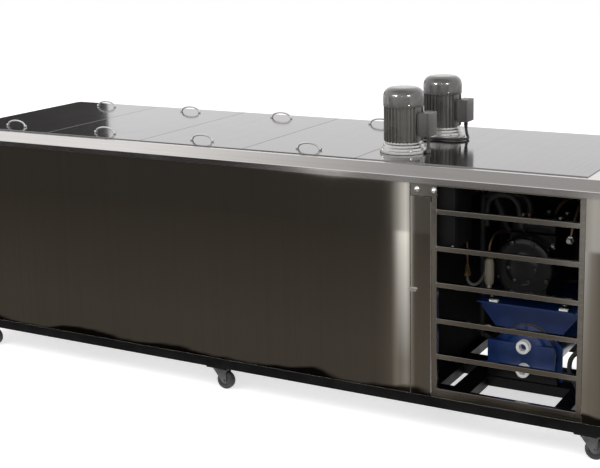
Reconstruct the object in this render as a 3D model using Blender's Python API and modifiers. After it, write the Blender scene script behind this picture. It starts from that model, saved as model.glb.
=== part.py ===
"""Long bulk milk tank: an insulated chest with four lift-off lids, two stirring motors and a cooling unit.

Run it with: blender --background --python part.py
Units are metres, +Z is up. X runs along the tank with the machine bay at +X, and the front faces -Y.
The origin is at the middle of the footprint, on the surface that the castors stand on.
"""

from math import cos, pi, radians, sin, tau

import bmesh
import bpy
from mathutils import Vector

# ---- Overall sizes -------------------------------------------------------------------------------
WIDTH = 0.945  # front lip to rear lip
BODY_HEIGHT = 0.900  # underside of the base frame to the deck
CASTOR_HEIGHT = 0.100  # floor to the underside of the base frame
LID_PITCH = 0.494
LID_COUNT = 4
DECK_LENGTH = 0.875  # plate that carries the motors and covers the machine bay
LEFT_STRIP = 0.045  # left end to the first lid
RIGHT_STRIP = 0.164  # deck plate to the right end

# ---- Clearances and walls ------------------------------------------------------------------------
GAP = 0.0003  # between pieces that touch
RUNNING_GAP = 0.0001  # between a shaft and its bore
SHEET = 0.002
PLATE = 0.003

# ---- Base frame and castors ----------------------------------------------------------------------
RAIL_WIDTH = 0.050
RAIL_HEIGHT = 0.040
BASE_INSET = 0.012
CASTOR_INSET_X = 0.138
CASTOR_INSET_Y = 0.055
MIDDLE_CASTOR_X = -0.138
PAD_THICKNESS = 0.006
PAD_SIZE = 0.082
WHEEL_RADIUS = 0.0375
WHEEL_WIDTH = 0.030
WHEEL_SIDES = 24
CASTOR_TRAIL = 0.028
AXLE_RADIUS = 0.005
SWIVEL_RADIUS = 0.026
SWIVEL_HEIGHT = 0.010
FORK_PLATE = 0.003

# ---- Rim, panels and tank ------------------------------------------------------------------------
NOSE = 0.035  # run and drop of the sloped nosing
LIP = 0.023  # upright lip below the nosing
FLANGE = 0.040  # flat part of the rim inside the nosing
LID_OVERLAP = 0.013  # how far a lid lies on the flange
PANEL_INSET = 0.010  # the lip overhangs the panels by this, less its own wall
PANEL_DROP = 0.045  # deck to the top edge of the panels
TANK_INSET = 0.068
BULKHEAD_FOAM = 0.045
FLOOR_FOAM = 0.055
EVAPORATOR_THICKNESS = 0.006
PLUG_DEPTH = 0.028
PLUG_INSET_X = 0.033
PLUG_INSET_Y = 0.017
LID_GAP = 0.003

# ---- Lid handles ---------------------------------------------------------------------------------
HANDLE_SPAN = 0.112
HANDLE_RISE = 0.0295
HANDLE_BAR = 0.004
HANDLE_FOOT = 0.010
HANDLE_INSET = 0.150  # front or rear of the tank to the handle

# ---- Machine bay front ---------------------------------------------------------------------------
BAY_LENGTH = 0.798  # bulkhead to the right end
COVER_WIDTH = 0.080
HINGE_ROOM = 0.0027
STILE = 0.020
OPENING = 0.520
BAR = 0.018
BAR_COUNT = 5
BAR_PITCH = 0.1355
BOTTOM_RAIL = 0.036
FIRST_GAP = 0.1145  # above the grille's bottom rail
GRILLE_DEPTH = 0.020
HEADER_HEIGHT = 0.060
BUTTON_RADIUS = 0.0085
BUTTON_TRAVEL = 0.003
BUTTON_LENGTH = 0.014
BUTTON_DOME = 0.0055
LATCH_HEIGHT = 0.443  # above the underside of the base frame
LATCH_SHAFT = 0.005

# ---- Agitators -----------------------------------------------------------------------------------
MOTOR_OFFSET_X = 0.107  # left edge of the deck plate to the motor axis
FRONT_MOTOR_Y = 0.255  # front of the tank to the front motor's axis
REAR_MOTOR_Y = 0.310  # rear of the tank to the rear motor's axis
FLANGE_RADIUS = 0.091
FIN_RADIUS = 0.076
FIN_ROOT = 0.066
FIN_COUNT = 30
BELL_HEIGHT = 0.042
FIN_TOP = 0.192
MOTOR_HEIGHT = 0.248
COVER_RADIUS = 0.0775
COVER_ROUND = 0.027
SHAFT_RADIUS = 0.010
SHAFT_DEPTH = 0.540
PROPELLER_RADIUS = 0.055
BOX_BOTTOM = 0.066
BOX_HEIGHT = 0.090
BOX_WIDTH = 0.075
BOX_DEPTH = 0.044
CABLE_RADIUS = 0.0055
GLAND_RADIUS = 0.0095
GLAND_LENGTH = 0.008

# Route of the rear motor's cable, from its gland: x and y from that motor's axis, z above the deck plate.
CABLE_ROUTE = [
    (0.1010, 0.0000, 0.0580), (0.1010, 0.0000, 0.0500), (0.1045, -0.0054, 0.0330), (0.1130, -0.0174, 0.0160),
    (0.1235, -0.0330, 0.0082), (0.1300, -0.0530, 0.0062), (0.1270, -0.0740, 0.0062), (0.1130, -0.0940, 0.0062),
    (0.0900, -0.1060, 0.0062), (0.0600, -0.1085, 0.0062), (0.0280, -0.1080, 0.0062), (0.0000, -0.1110, 0.0062),
    (-0.0250, -0.1210, 0.0066), (-0.0420, -0.1370, 0.0085), (-0.0500, -0.1530, 0.0107), (-0.0512, -0.1650, 0.0110),
    (-0.0512, -0.1720, 0.0110),
]
CABLE_STEP = 0.014
DECK_GLAND = (-0.0512, -0.1723, 0.0110)

# ---- Cooling unit --------------------------------------------------------------------------------
UNIT_INSET_X = 0.460  # right end to the middle of the unit
CONDENSER_RADIUS = 0.108
CONDENSER_FRONT = 0.345
CONDENSER_REAR = 0.100  # rear of the tank to the condenser
CONDENSER_WALL = 0.008
END_COVER_DEPTH = 0.038
FOOT_WIDTH = 0.266
SADDLE_WIDTH = 0.380
SADDLE_TOP = 0.190  # above the condenser's axis
SADDLE_PLATE = 0.008
PORT_RADIUS = 0.0265
PORT_BORE = 0.014
PORT_LENGTH = 0.026
PORT_HEIGHTS = (-0.060, 0.034)  # from the condenser's axis
MOUNT_SPACING = 0.290
MOUNT_HEIGHT = 0.026
MOUNT_RADIUS = 0.014
COMPRESSOR_RADIUS = 0.104
COMPRESSOR_FRONT = 0.262
COMPRESSOR_LENGTH = 0.420
COMPRESSOR_RISE = 0.130  # its feet to its axis
BELL_RADIUS = 0.118
BLOCK_HEIGHT = 0.105  # compressor axis to the top of its cylinder block
HEAD_HEIGHT = 0.045
SUCTION_RADIUS = 0.014
DISCHARGE_RADIUS = 0.011

# ---- Drain ---------------------------------------------------------------------------------------
DRAIN_INSET_X = 0.160
DRAIN_DROP = 0.022  # underside of the base frame to the outlet's axis
DRAIN_TUBE = 0.019
DRAIN_BORE = 0.015
DRAIN_BODY = 0.026
DRAIN_REACH = 0.125
LEVER_LENGTH = 0.095

# ---- Derived places ------------------------------------------------------------------------------
LENGTH = LEFT_STRIP + LID_COUNT * LID_PITCH + DECK_LENGTH + RIGHT_STRIP
LEFT = -LENGTH / 2
RIGHT = LENGTH / 2
FRONT = -WIDTH / 2
REAR = WIDTH / 2
BASE_BOTTOM = CASTOR_HEIGHT
BASE_TOP = BASE_BOTTOM + RAIL_HEIGHT
DECK = BASE_BOTTOM + BODY_HEIGHT
PLATE_TOP = DECK + GAP + PLATE
PANEL_TOP = DECK - PANEL_DROP
PANEL_BOTTOM = BASE_TOP + GAP
BAY_X = RIGHT - BAY_LENGTH
DECK_X = LEFT + LEFT_STRIP + LID_COUNT * LID_PITCH
MOTOR_X = DECK_X + MOTOR_OFFSET_X
LID_FRONT = NOSE + FLANGE - LID_OVERLAP
FOAM_INSET = PANEL_INSET + SHEET + GAP
TANK_LEFT = LEFT + TANK_INSET
TANK_RIGHT = BAY_X - BULKHEAD_FOAM
FOAM_BOTTOM = PANEL_BOTTOM + SHEET + GAP
TANK_BOTTOM = FOAM_BOTTOM + FLOOR_FOAM + EVAPORATOR_THICKNESS + 2 * GAP
TANK_TOP = DECK - SHEET - GAP
UNIT_X = RIGHT - UNIT_INSET_X
MOTOR_INSETS_Y = {"front": FRONT_MOTOR_Y, "rear": WIDTH - REAR_MOTOR_Y}
CONDENSER_LENGTH = WIDTH - CONDENSER_FRONT - CONDENSER_REAR
CONDENSER_Z = BASE_TOP + GAP + CONDENSER_RADIUS
SADDLE_Z = CONDENSER_Z + SADDLE_TOP
FEET_Z = SADDLE_Z + MOUNT_HEIGHT
COMPRESSOR_Z = FEET_Z + COMPRESSOR_RISE
DRAIN_X = LEFT + DRAIN_INSET_X
DRAIN_Z = BASE_BOTTOM - DRAIN_DROP
CASTOR_PLACES = {
    f"{column}_{row}": (x, y)
    for column, x in (("left", LEFT + CASTOR_INSET_X), ("middle", MIDDLE_CASTOR_X), ("right", RIGHT - CASTOR_INSET_X))
    for row, y in (("front", FRONT + CASTOR_INSET_Y), ("rear", REAR - CASTOR_INSET_Y))
}
CASTOR_PADS = list(CASTOR_PLACES.values())


# ---- Scene and modelling helpers -----------------------------------------------------------------
def clear_scene():
    """Removes every object, and gives the collection for the tank."""
    for obj in list(bpy.data.objects):
        bpy.data.objects.remove(obj, do_unlink=True)
    tank = bpy.data.collections.new("bulk_milk_tank")
    bpy.context.scene.collection.children.link(tank)
    return tank


COLLECTION = clear_scene()


def material(name, color, roughness, metallic=0.0):
    """Gives a Principled material of one plain colour."""
    mat = bpy.data.materials.new(name)
    mat.use_nodes = True
    shader = mat.node_tree.nodes["Principled BSDF"]
    shader.inputs["Base Color"].default_value = (*color, 1.0)
    shader.inputs["Roughness"].default_value = roughness
    shader.inputs["Metallic"].default_value = metallic
    return mat


STEEL = material("stainless_steel", (0.56, 0.55, 0.54), 0.25, 1.0)
ZINC = material("zinc_plate", (0.50, 0.50, 0.48), 0.40, 1.0)
BLACK_PAINT = material("black_paint", (0.015, 0.015, 0.016), 0.45)
BLUE_PAINT = material("blue_paint", (0.012, 0.040, 0.160), 0.35)
MOTOR_GREY = material("motor_grey", (0.17, 0.165, 0.16), 0.30)
WHITE_PLASTIC = material("white_plastic", (0.82, 0.82, 0.80), 0.45)
RUBBER = material("black_rubber", (0.02, 0.02, 0.02), 0.70)
FOAM = material("insulation_foam", (0.78, 0.70, 0.48), 0.90)
COPPER = material("copper_pipe", (0.60, 0.30, 0.18), 0.30, 1.0)


def add_mesh_object(name, bm):
    """Makes an object from a bmesh, at the origin."""
    mesh = bpy.data.meshes.new(name)
    bm.to_mesh(mesh)
    bm.free()
    obj = bpy.data.objects.new(name, mesh)
    COLLECTION.objects.link(obj)
    return obj


def bake(obj):
    """Applies an object's modifiers, or turns a curve into a mesh, and keeps its name and place."""
    graph = bpy.context.evaluated_depsgraph_get()
    mesh = bpy.data.meshes.new_from_object(obj.evaluated_get(graph))
    bm = bmesh.new()
    bm.from_mesh(mesh)
    bmesh.ops.remove_doubles(bm, verts=bm.verts, dist=1e-6)
    bm.to_mesh(mesh)
    bm.free()
    name = obj.name
    baked = bpy.data.objects.new(name + "_mesh", mesh)
    baked.matrix_world = obj.matrix_world.copy()
    bpy.data.objects.remove(obj, do_unlink=True)
    COLLECTION.objects.link(baked)
    baked.name = name
    bpy.context.view_layer.update()
    return baked


def boolean(target, others, operation):
    """Joins the other objects to the target or cuts them from it, and removes them."""
    for other in others:
        step = target.modifiers.new(operation.lower(), "BOOLEAN")
        step.operation = operation
        step.solver = "EXACT"
        step.object = other
    bpy.context.view_layer.update()
    baked = bake(target)
    for other in others:
        bpy.data.objects.remove(other, do_unlink=True)
    return baked


def join(target, *others):
    return boolean(target, others, "UNION")


def cut(target, *others):
    return boolean(target, others, "DIFFERENCE")


def box(low, high, bevel=0.0, segments=1):
    """A box between two corners, with its edges bevelled where a width is given."""
    bm = bmesh.new()
    bmesh.ops.create_cube(bm, size=1.0)
    size = [b - a for a, b in zip(low, high)]
    middle = [(a + b) / 2 for a, b in zip(low, high)]
    bmesh.ops.scale(bm, vec=size, verts=bm.verts)
    bmesh.ops.translate(bm, vec=middle, verts=bm.verts)
    if bevel:
        bmesh.ops.bevel(bm, geom=bm.edges, offset=bevel, segments=segments, profile=0.5, affect="EDGES")
    return add_mesh_object("box", bm)


def cylinder(radius, start, end, sides=24, radius_end=None):
    """A closed cylinder, or a cone where a second radius is given, between two points."""
    axis = Vector(end) - Vector(start)
    bm = bmesh.new()
    bmesh.ops.create_cone(
        bm, cap_ends=True, segments=sides, radius1=radius, depth=axis.length,
        radius2=radius if radius_end is None else radius_end,
    )
    obj = add_mesh_object("cylinder", bm)
    turn = Vector((0, 0, 1)).rotation_difference(axis.normalized()).to_matrix().to_4x4()
    obj.data.transform(turn)
    for vertex in obj.data.vertices:
        vertex.co += (Vector(start) + Vector(end)) / 2
    return obj


def bore_cutter(radius, start, end, sides=24):
    """A cylinder whose flats, and not its corners, lie at the radius, so that a round shaft turns in it."""
    return cylinder(radius / cos(pi / sides), start, end, sides)


def turned(profile, steps, phase=0.0, closed=False):
    """A turned shape about local Z. The profile's (radius, z) points run down the outer side."""
    mesh = bpy.data.meshes.new("turned")
    points = [(radius * cos(phase), radius * sin(phase), z) for radius, z in profile]
    edges = [(i, i + 1) for i in range(len(points) - 1)]
    if closed:
        edges.append((len(points) - 1, 0))
    mesh.from_pydata(points, edges, [])
    obj = bpy.data.objects.new("turned", mesh)
    COLLECTION.objects.link(obj)
    screw = obj.modifiers.new("screw", "SCREW")
    screw.steps = steps
    screw.render_steps = steps
    screw.use_merge_vertices = True
    screw.merge_threshold = 0.00001
    screw.use_smooth_shade = False
    bpy.context.view_layer.update()
    return bake(obj)


def turned_along_y(profile, steps, x, y, z, phase=0.0):
    """A turned shape whose local +Z points to the front, placed with its zero at the given point."""
    obj = turned(profile, steps, phase)
    for vertex in obj.data.vertices:
        along = vertex.co.z
        vertex.co = Vector((x + vertex.co.x, y - along, z + vertex.co.y))
    return obj


def outline(loops, low, high, plane="XY"):
    """Flat plate from 2D loops, the first being the outside and the rest holes, between two levels."""
    curve = bpy.data.curves.new("outline", "CURVE")
    curve.dimensions = "2D"
    curve.fill_mode = "BOTH"
    curve.extrude = (high - low) / 2
    for loop in loops:
        spline = curve.splines.new("POLY")
        spline.points.add(len(loop) - 1)
        for point, (a, b) in zip(spline.points, loop):
            point.co = (a, b, 0.0, 1.0)
        spline.use_cyclic_u = True
    obj = bpy.data.objects.new("outline", curve)
    COLLECTION.objects.link(obj)
    bpy.context.view_layer.update()
    obj = bake(obj)
    middle = (low + high) / 2
    place = {
        "XY": lambda p: Vector((p.x, p.y, middle + p.z)),
        "XZ": lambda p: Vector((p.x, middle - p.z, p.y)),
    }[plane]
    for vertex in obj.data.vertices:
        vertex.co = place(vertex.co.copy())
    return obj


def tube(points, radius, resolution=1):
    """A round bar or pipe along points, with closed ends."""
    curve = bpy.data.curves.new("tube", "CURVE")
    curve.dimensions = "3D"
    curve.bevel_depth = radius
    curve.bevel_resolution = resolution
    curve.use_fill_caps = True
    spline = curve.splines.new("POLY")
    spline.points.add(len(points) - 1)
    for point, place in zip(spline.points, points):
        point.co = (*place, 1.0)
    obj = bpy.data.objects.new("tube", curve)
    COLLECTION.objects.link(obj)
    bpy.context.view_layer.update()
    return bake(obj)


def smooth_route(points, step):
    """Evenly spaced points on a Catmull-Rom curve through the given ones, straight at both ends."""
    knots = [Vector(p) for p in points]
    knots = [2 * knots[0] - knots[1], *knots, 2 * knots[-1] - knots[-2]]
    fine = []
    for a, b, c, d in zip(knots, knots[1:], knots[2:], knots[3:]):
        for i in range(20):
            t = i / 20
            fine.append(0.5 * (2 * b + (c - a) * t + (2 * a - 5 * b + 4 * c - d) * t ** 2
                               + (3 * b - a - 3 * c + d) * t ** 3))
    fine.append(knots[-2])
    lengths = [0.0]
    for a, b in zip(fine, fine[1:]):
        lengths.append(lengths[-1] + (b - a).length)
    count = max(2, round(lengths[-1] / step))
    route = []
    place = 0
    for i in range(count + 1):
        wanted = lengths[-1] * i / count
        while place < len(fine) - 2 and lengths[place + 1] < wanted:
            place += 1
        share = (wanted - lengths[place]) / (lengths[place + 1] - lengths[place])
        route.append(fine[place].lerp(fine[place + 1], share))
    square_start = knots[1] + (knots[2] - knots[1]).normalized() * 0.003
    square_end = knots[-2] + (knots[-3] - knots[-2]).normalized() * 0.003
    return [knots[1], square_start, *route[1:-1], square_end, knots[-2]]


def arc(radius, start, end, count, centre=(0.0, 0.0)):
    """Points on an arc, from one angle to another in degrees."""
    angles = [radians(start + (end - start) * i / count) for i in range(count + 1)]
    return [(centre[0] + radius * cos(a), centre[1] + radius * sin(a)) for a in angles]


def finish(obj, name, mat, pivot=(0, 0, 0), parent=None, smooth=False):
    """Names a piece, gives it its material, and puts its origin on its joint's axis."""
    obj.name = name
    obj.data.name = name
    obj.data.materials.clear()
    obj.data.materials.append(mat)
    if smooth:
        obj.data.shade_smooth()
        obj.data.set_sharp_from_angle(angle=radians(35))
    for vertex in obj.data.vertices:
        vertex.co -= Vector(pivot)
    obj.location = pivot
    if parent is not None:
        obj.parent = parent
        obj.location = Vector(pivot) - parent.matrix_world.translation
    bpy.context.view_layer.update()
    return obj


def copy_piece(source, name, pivot, parent=None):
    """A second piece with the same mesh at another place."""
    obj = bpy.data.objects.new(name, source.data)
    COLLECTION.objects.link(obj)
    obj.location = pivot
    if parent is not None:
        obj.parent = parent
        obj.location = Vector(pivot) - parent.matrix_world.translation
    bpy.context.view_layer.update()
    return obj


# ---- Base frame and castors ----------------------------------------------------------------------
def build_base_frame():
    """Welded rails with cross members, open between them, and a pad over each castor."""
    left, right = LEFT + BASE_INSET, RIGHT - BASE_INSET
    front, rear = FRONT + BASE_INSET, REAR - BASE_INSET
    half = RAIL_WIDTH / 2
    cross_members = [LEFT + 0.700, MIDDLE_CASTOR_X]
    edges = [left + RAIL_WIDTH]
    for x in cross_members:
        edges += [x - half, x + half]
    edges.append(BAY_X - 0.022)
    holes = [(a, front + RAIL_WIDTH, b, rear - RAIL_WIDTH) for a, b in zip(edges[::2], edges[1::2])]
    bay_holes = [  # left, front, right, rear; from the bulkhead and from the front of the tank
        (0.063, 0.150, 0.118, 0.390),
        (0.196, 0.100, 0.518, 0.306),
        (0.196, 0.372, 0.518, 0.470),
        (0.038, 0.520, 0.518, WIDTH - 0.135),
        (0.578, 0.100, 0.728, WIDTH - 0.135),
    ]
    holes += [(BAY_X + a, FRONT + b, BAY_X + c, FRONT + d) for a, b, c, d in bay_holes]
    over = 0.01
    cutters = [box((a, b, BASE_BOTTOM - over), (c, d, BASE_TOP + over)) for a, b, c, d in holes]
    frame = cut(box((left, front, BASE_BOTTOM), (right, rear, BASE_TOP)), *cutters)
    weld = 0.001
    pads = []
    for x, y in CASTOR_PADS:
        low = (x - PAD_SIZE / 2, y - PAD_SIZE / 2, BASE_BOTTOM - PAD_THICKNESS)
        high = (x + PAD_SIZE / 2, y + PAD_SIZE / 2, BASE_BOTTOM + weld)
        pads.append(box(low, high))
    finish(join(frame, *pads), "base_frame", BLACK_PAINT)


def build_fork_shape():
    """Swivel head, crown and two legs with the axle, about the swivel axis at the pad's underside."""
    top = -GAP
    crown_top = top - SWIVEL_HEIGHT
    leg_in = WHEEL_WIDTH / 2 + 0.001
    leg_out = leg_in + FORK_PLATE
    axle_z = WHEEL_RADIUS - (CASTOR_HEIGHT - PAD_THICKNESS)
    head = cylinder(SWIVEL_RADIUS, (0, 0, crown_top - 0.002), (0, 0, top), 20)
    crown = box((-0.022, -leg_out, crown_top - 0.005), (0.040, leg_out, crown_top))
    eye = arc(0.012, -150, 30, 5, (CASTOR_TRAIL, axle_z))
    leg_shape = [(-0.022, crown_top - 0.001), *eye, (0.040, crown_top - 0.001)]
    legs = [outline([leg_shape], a, b, "XZ") for a, b in ((leg_in, leg_out), (-leg_out, -leg_in))]
    over = leg_out + 0.003
    axle = cylinder(AXLE_RADIUS, (CASTOR_TRAIL, -over, axle_z), (CASTOR_TRAIL, over, axle_z), 16)
    return join(head, crown, *legs, axle)


def build_wheel_shape():
    """Wheel with a hub bore. Its sides are flat facets, and one of them faces the floor."""
    outer = WHEEL_RADIUS / cos(pi / WHEEL_SIDES)
    half = WHEEL_WIDTH / 2
    shoulder = 0.004
    bore = (AXLE_RADIUS + RUNNING_GAP) / cos(pi / WHEEL_SIDES)
    profile = [
        (bore, half), (outer - shoulder, half), (outer, half - shoulder),
        (outer, shoulder - half), (outer - shoulder, -half), (bore, -half),
    ]
    wheel = turned(profile, WHEEL_SIDES, phase=pi / WHEEL_SIDES, closed=True)
    for vertex in wheel.data.vertices:
        x, y, z = vertex.co
        vertex.co = Vector((x, -z, y))
    return wheel


def build_castors():
    """Six swivel castors: a fork that turns under its pad and a wheel that turns on the fork's axle."""
    pad_z = BASE_BOTTOM - PAD_THICKNESS
    fork_shape = None
    wheel_shape = None
    for place, (x, y) in CASTOR_PLACES.items():
        fork_name = f"castor_fork_{place}"
        wheel_name = f"castor_wheel_{place}"
        if fork_shape is None:
            fork = fork_shape = finish(build_fork_shape(), fork_name, ZINC)
            fork.location = (x, y, pad_z)
            wheel = wheel_shape = finish(build_wheel_shape(), wheel_name, RUBBER, smooth=True)
            bpy.context.view_layer.update()
            wheel.parent = fork
        else:
            fork = copy_piece(fork_shape, fork_name, (x, y, pad_z))
            wheel = copy_piece(wheel_shape, wheel_name, (x, y, pad_z), fork)
        wheel.location = (CASTOR_TRAIL, 0, WHEEL_RADIUS - pad_z)
        bpy.context.view_layer.update()


# ---- Insulated tank ------------------------------------------------------------------------------
def build_tank():
    """Inner tank, the cooling plate under its floor and the foam around both."""
    y_in = TANK_INSET + SHEET
    tank_front, tank_rear = FRONT + TANK_INSET, REAR - TANK_INSET
    low = (TANK_LEFT, tank_front, TANK_BOTTOM)
    high = (TANK_RIGHT, tank_rear, TANK_TOP)
    shell = box(low, high)
    hollow = box(
        (TANK_LEFT + SHEET, FRONT + y_in, TANK_BOTTOM + SHEET),
        (TANK_RIGHT - SHEET, REAR - y_in, TANK_TOP + SHEET),
    )
    outlet = cylinder(DRAIN_TUBE + GAP, (DRAIN_X, 0, TANK_BOTTOM - SHEET), (DRAIN_X, 0, TANK_BOTTOM + 2 * SHEET), 20)
    finish(cut(shell, hollow, outlet), "inner_tank", STEEL)

    plate_z = TANK_BOTTOM - GAP - EVAPORATOR_THICKNESS
    margin = 0.045
    plate = box(
        (DRAIN_X + margin, tank_front + margin, plate_z), (TANK_RIGHT - margin, tank_rear - margin, TANK_BOTTOM - GAP)
    )
    finish(plate, "evaporator_plate", STEEL)

    block = box(
        (LEFT + FOAM_INSET, FRONT + FOAM_INSET, FOAM_BOTTOM), (BAY_X - GAP, REAR - FOAM_INSET, PANEL_TOP)
    )
    pocket = box(
        (TANK_LEFT - GAP, tank_front - GAP, TANK_BOTTOM - GAP), (TANK_RIGHT + GAP, tank_rear + GAP, PANEL_TOP + SHEET)
    )
    plate_room = box(
        (DRAIN_X + margin - GAP, tank_front + margin - GAP, plate_z - GAP),
        (TANK_RIGHT - margin + GAP, tank_rear - margin + GAP, TANK_BOTTOM),
    )
    passage = cylinder(DRAIN_TUBE + GAP, (DRAIN_X, 0, BASE_BOTTOM), (DRAIN_X, 0, TANK_BOTTOM + SHEET), 20)
    finish(cut(block, pocket, plate_room, passage, keeper_room()), "foam_insulation", FOAM)


def build_drain():
    """Tank outlet, a ball valve under the floor with its spout to the left, and the valve's lever."""
    inside = TANK_BOTTOM + SHEET + GAP
    collar = 0.003
    tube_wall = cylinder(DRAIN_TUBE, (DRAIN_X, 0, DRAIN_Z), (DRAIN_X, 0, inside + collar), 20)
    flange = cylinder(DRAIN_TUBE + 0.011, (DRAIN_X, 0, inside), (DRAIN_X, 0, inside + collar), 20)
    body = cylinder(DRAIN_BODY, (DRAIN_X - 0.026, 0, DRAIN_Z), (DRAIN_X + 0.030, 0, DRAIN_Z), 20)
    spout = cylinder(DRAIN_TUBE, (DRAIN_X - DRAIN_REACH, 0, DRAIN_Z), (DRAIN_X, 0, DRAIN_Z), 20)
    valve = join(tube_wall, flange, body, spout)
    down = cylinder(DRAIN_BORE, (DRAIN_X, 0, DRAIN_Z), (DRAIN_X, 0, inside + 2 * collar), 16)
    along = cylinder(DRAIN_BORE, (DRAIN_X - DRAIN_REACH - collar, 0, DRAIN_Z), (DRAIN_X, 0, DRAIN_Z), 16)
    valve = cut(valve, down, along)
    finish(valve, "drain_valve", STEEL)

    stem_top = DRAIN_Z - DRAIN_BODY - GAP
    stem_bottom = stem_top - 0.010
    half = 0.009
    stem = cylinder(0.007, (DRAIN_X, 0, stem_bottom - 0.002), (DRAIN_X, 0, stem_top), 16)
    blade_shape = [*arc(half, 180, 360, 8, (DRAIN_X, 0)), *arc(half, 0, 180, 8, (DRAIN_X, LEVER_LENGTH))]
    blade = outline([blade_shape], stem_bottom, stem_bottom + PLATE)
    finish(join(stem, blade), "drain_lever", BLUE_PAINT, pivot=(DRAIN_X, 0, stem_top))


def keeper_room():
    """Cutter for the room that the latch's keeper takes behind the front panel's edge."""
    front, z = FRONT + PANEL_INSET, BASE_BOTTOM + LATCH_HEIGHT
    low = (BAY_X - 2 * GAP - SHEET, front, z - 0.030 - GAP)
    return box(low, (BAY_X + 2 * SHEET, front + 0.0062 + GAP, z + 0.030 + GAP))


def build_panels():
    """Outer panels, and the floor sheet that turns up as the bulkhead of the machine bay."""
    low_z, high_z = PANEL_BOTTOM, PANEL_TOP
    left, right = LEFT + PANEL_INSET, RIGHT - PANEL_INSET
    front, rear = FRONT + PANEL_INSET, REAR - PANEL_INSET
    z = BASE_BOTTOM + LATCH_HEIGHT
    edge = BAY_X - GAP
    panel = box((left, front, low_z), (edge, front + SHEET, high_z))
    keeper_root = box((edge - SHEET, front + SHEET / 2, z - 0.030), (edge, front + 0.0062, z + 0.030))
    keeper = box((edge - SHEET, front + 0.0044, z - 0.030), (BAY_X + 0.0125, front + 0.0062, z + 0.030))
    finish(join(panel, keeper_root, keeper), "front_panel", STEEL)
    finish(box((left, rear - SHEET, low_z), (right, rear, high_z)), "rear_panel", STEEL)
    side = (left, front + SHEET + GAP, low_z), (left + SHEET, rear - SHEET - GAP, high_z)
    finish(box(*side), "left_end_panel", STEEL)

    turn = BAY_X + grille_right() + GAP
    inner = right - SHEET
    back = rear - SHEET - GAP
    fold = [(turn, front), (right, front), (right, back), (inner, back), (inner, front + SHEET), (turn, front + SHEET)]
    finish(outline([fold], low_z, high_z), "right_end_panel", STEEL)

    behind = front + SHEET + GAP
    start, end = left + SHEET + GAP, BAY_X + SHEET
    fold = [(start, low_z), (end, low_z), (end, high_z), (BAY_X, high_z), (BAY_X, low_z + SHEET), (start, low_z + SHEET)]
    tray = outline([fold], behind, back, "XZ")
    passage = cylinder(DRAIN_TUBE + GAP, (DRAIN_X, 0, BASE_BOTTOM), (DRAIN_X, 0, FOAM_BOTTOM + SHEET), 20)
    finish(cut(tray, passage, keeper_room()), "floor_and_bulkhead", STEEL)


# ---- Rim, lids and deck plate --------------------------------------------------------------------
def chamfered_block(inset, top, bottom, slope):
    """A block whose four top edges are cut back at 45 degrees."""
    bm = bmesh.new()
    bmesh.ops.create_cube(bm, size=1.0)
    bmesh.ops.scale(bm, vec=(LENGTH - 2 * inset, WIDTH - 2 * inset, top - bottom), verts=bm.verts)
    bmesh.ops.translate(bm, vec=(0, 0, (top + bottom) / 2), verts=bm.verts)
    upper = [edge for edge in bm.edges if all(vertex.co.z > top - GAP for vertex in edge.verts)]
    bmesh.ops.bevel(bm, geom=upper, offset=slope, offset_type="OFFSET", segments=1, profile=0.5, affect="EDGES")
    return add_mesh_object("block", bm)


def build_rim():
    """Folded rim all round: upright lip, sloped nosing and the flange that the lids lie on."""
    bottom = DECK - NOSE - LIP
    outer = chamfered_block(0.0, DECK, bottom, NOSE)
    wall = SHEET
    slope_inside = NOSE - wall * (2 ** 0.5 - 1) + 0.0002
    inner = chamfered_block(wall, DECK - wall, bottom - wall, slope_inside)
    edge = NOSE + FLANGE
    hole = box(
        (LEFT + LEFT_STRIP + FLANGE - 0.010, FRONT + edge, bottom),
        (RIGHT - RIGHT_STRIP - LID_OVERLAP, REAR - edge, DECK + wall),
    )
    finish(cut(outer, inner, hole), "rim_frame", STEEL)


def handle_points():
    """Path of a lid handle's bar, from foot to foot, above the lid."""
    half = HANDLE_SPAN / 2
    arch_half = half - HANDLE_FOOT
    low = HANDLE_BAR + 0.0016
    rise = HANDLE_RISE - HANDLE_BAR - low
    ends = [(-half, 0, HANDLE_BAR), (-arch_half - 0.002, 0, HANDLE_BAR)]
    arch = [(-arch_half * cos(pi * i / 10), 0, low + rise * sin(pi * i / 10)) for i in range(11)]
    return [*ends, *arch, *((-x, y, z) for x, y, z in reversed(ends))]


def build_lids():
    """Four lift-off lids, each a sheet on an insulated plug, with a handle near its front and rear."""
    bottom = DECK + GAP
    handle_shape = None
    for number in range(1, LID_COUNT + 1):
        left = LEFT + LEFT_STRIP + (number - 1) * LID_PITCH
        right = left + LID_PITCH - LID_GAP
        middle = (left + right) / 2
        sheet = box((left, FRONT + LID_FRONT, bottom), (right, REAR - LID_FRONT, bottom + PLATE))
        plug_y = LID_FRONT + PLUG_INSET_Y
        plug = box(
            (left + PLUG_INSET_X, FRONT + plug_y, DECK - PLUG_DEPTH),
            (right - PLUG_INSET_X, REAR - plug_y, bottom + PLATE / 2),
        )
        lid = finish(join(sheet, plug), f"lid_{number}", STEEL, pivot=(middle, 0, bottom))
        for row, y in (("front", FRONT + HANDLE_INSET), ("rear", REAR - HANDLE_INSET)):
            name = f"lid_{number}_{row}_handle"
            place = (middle, y, bottom + PLATE + GAP)
            if handle_shape is None:
                bar = tube(handle_points(), HANDLE_BAR)
                for vertex in bar.data.vertices:
                    vertex.co += Vector(place)
                handle_shape = finish(bar, name, STEEL, pivot=place, parent=lid, smooth=True)
            else:
                copy_piece(handle_shape, name, place, lid)


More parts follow.
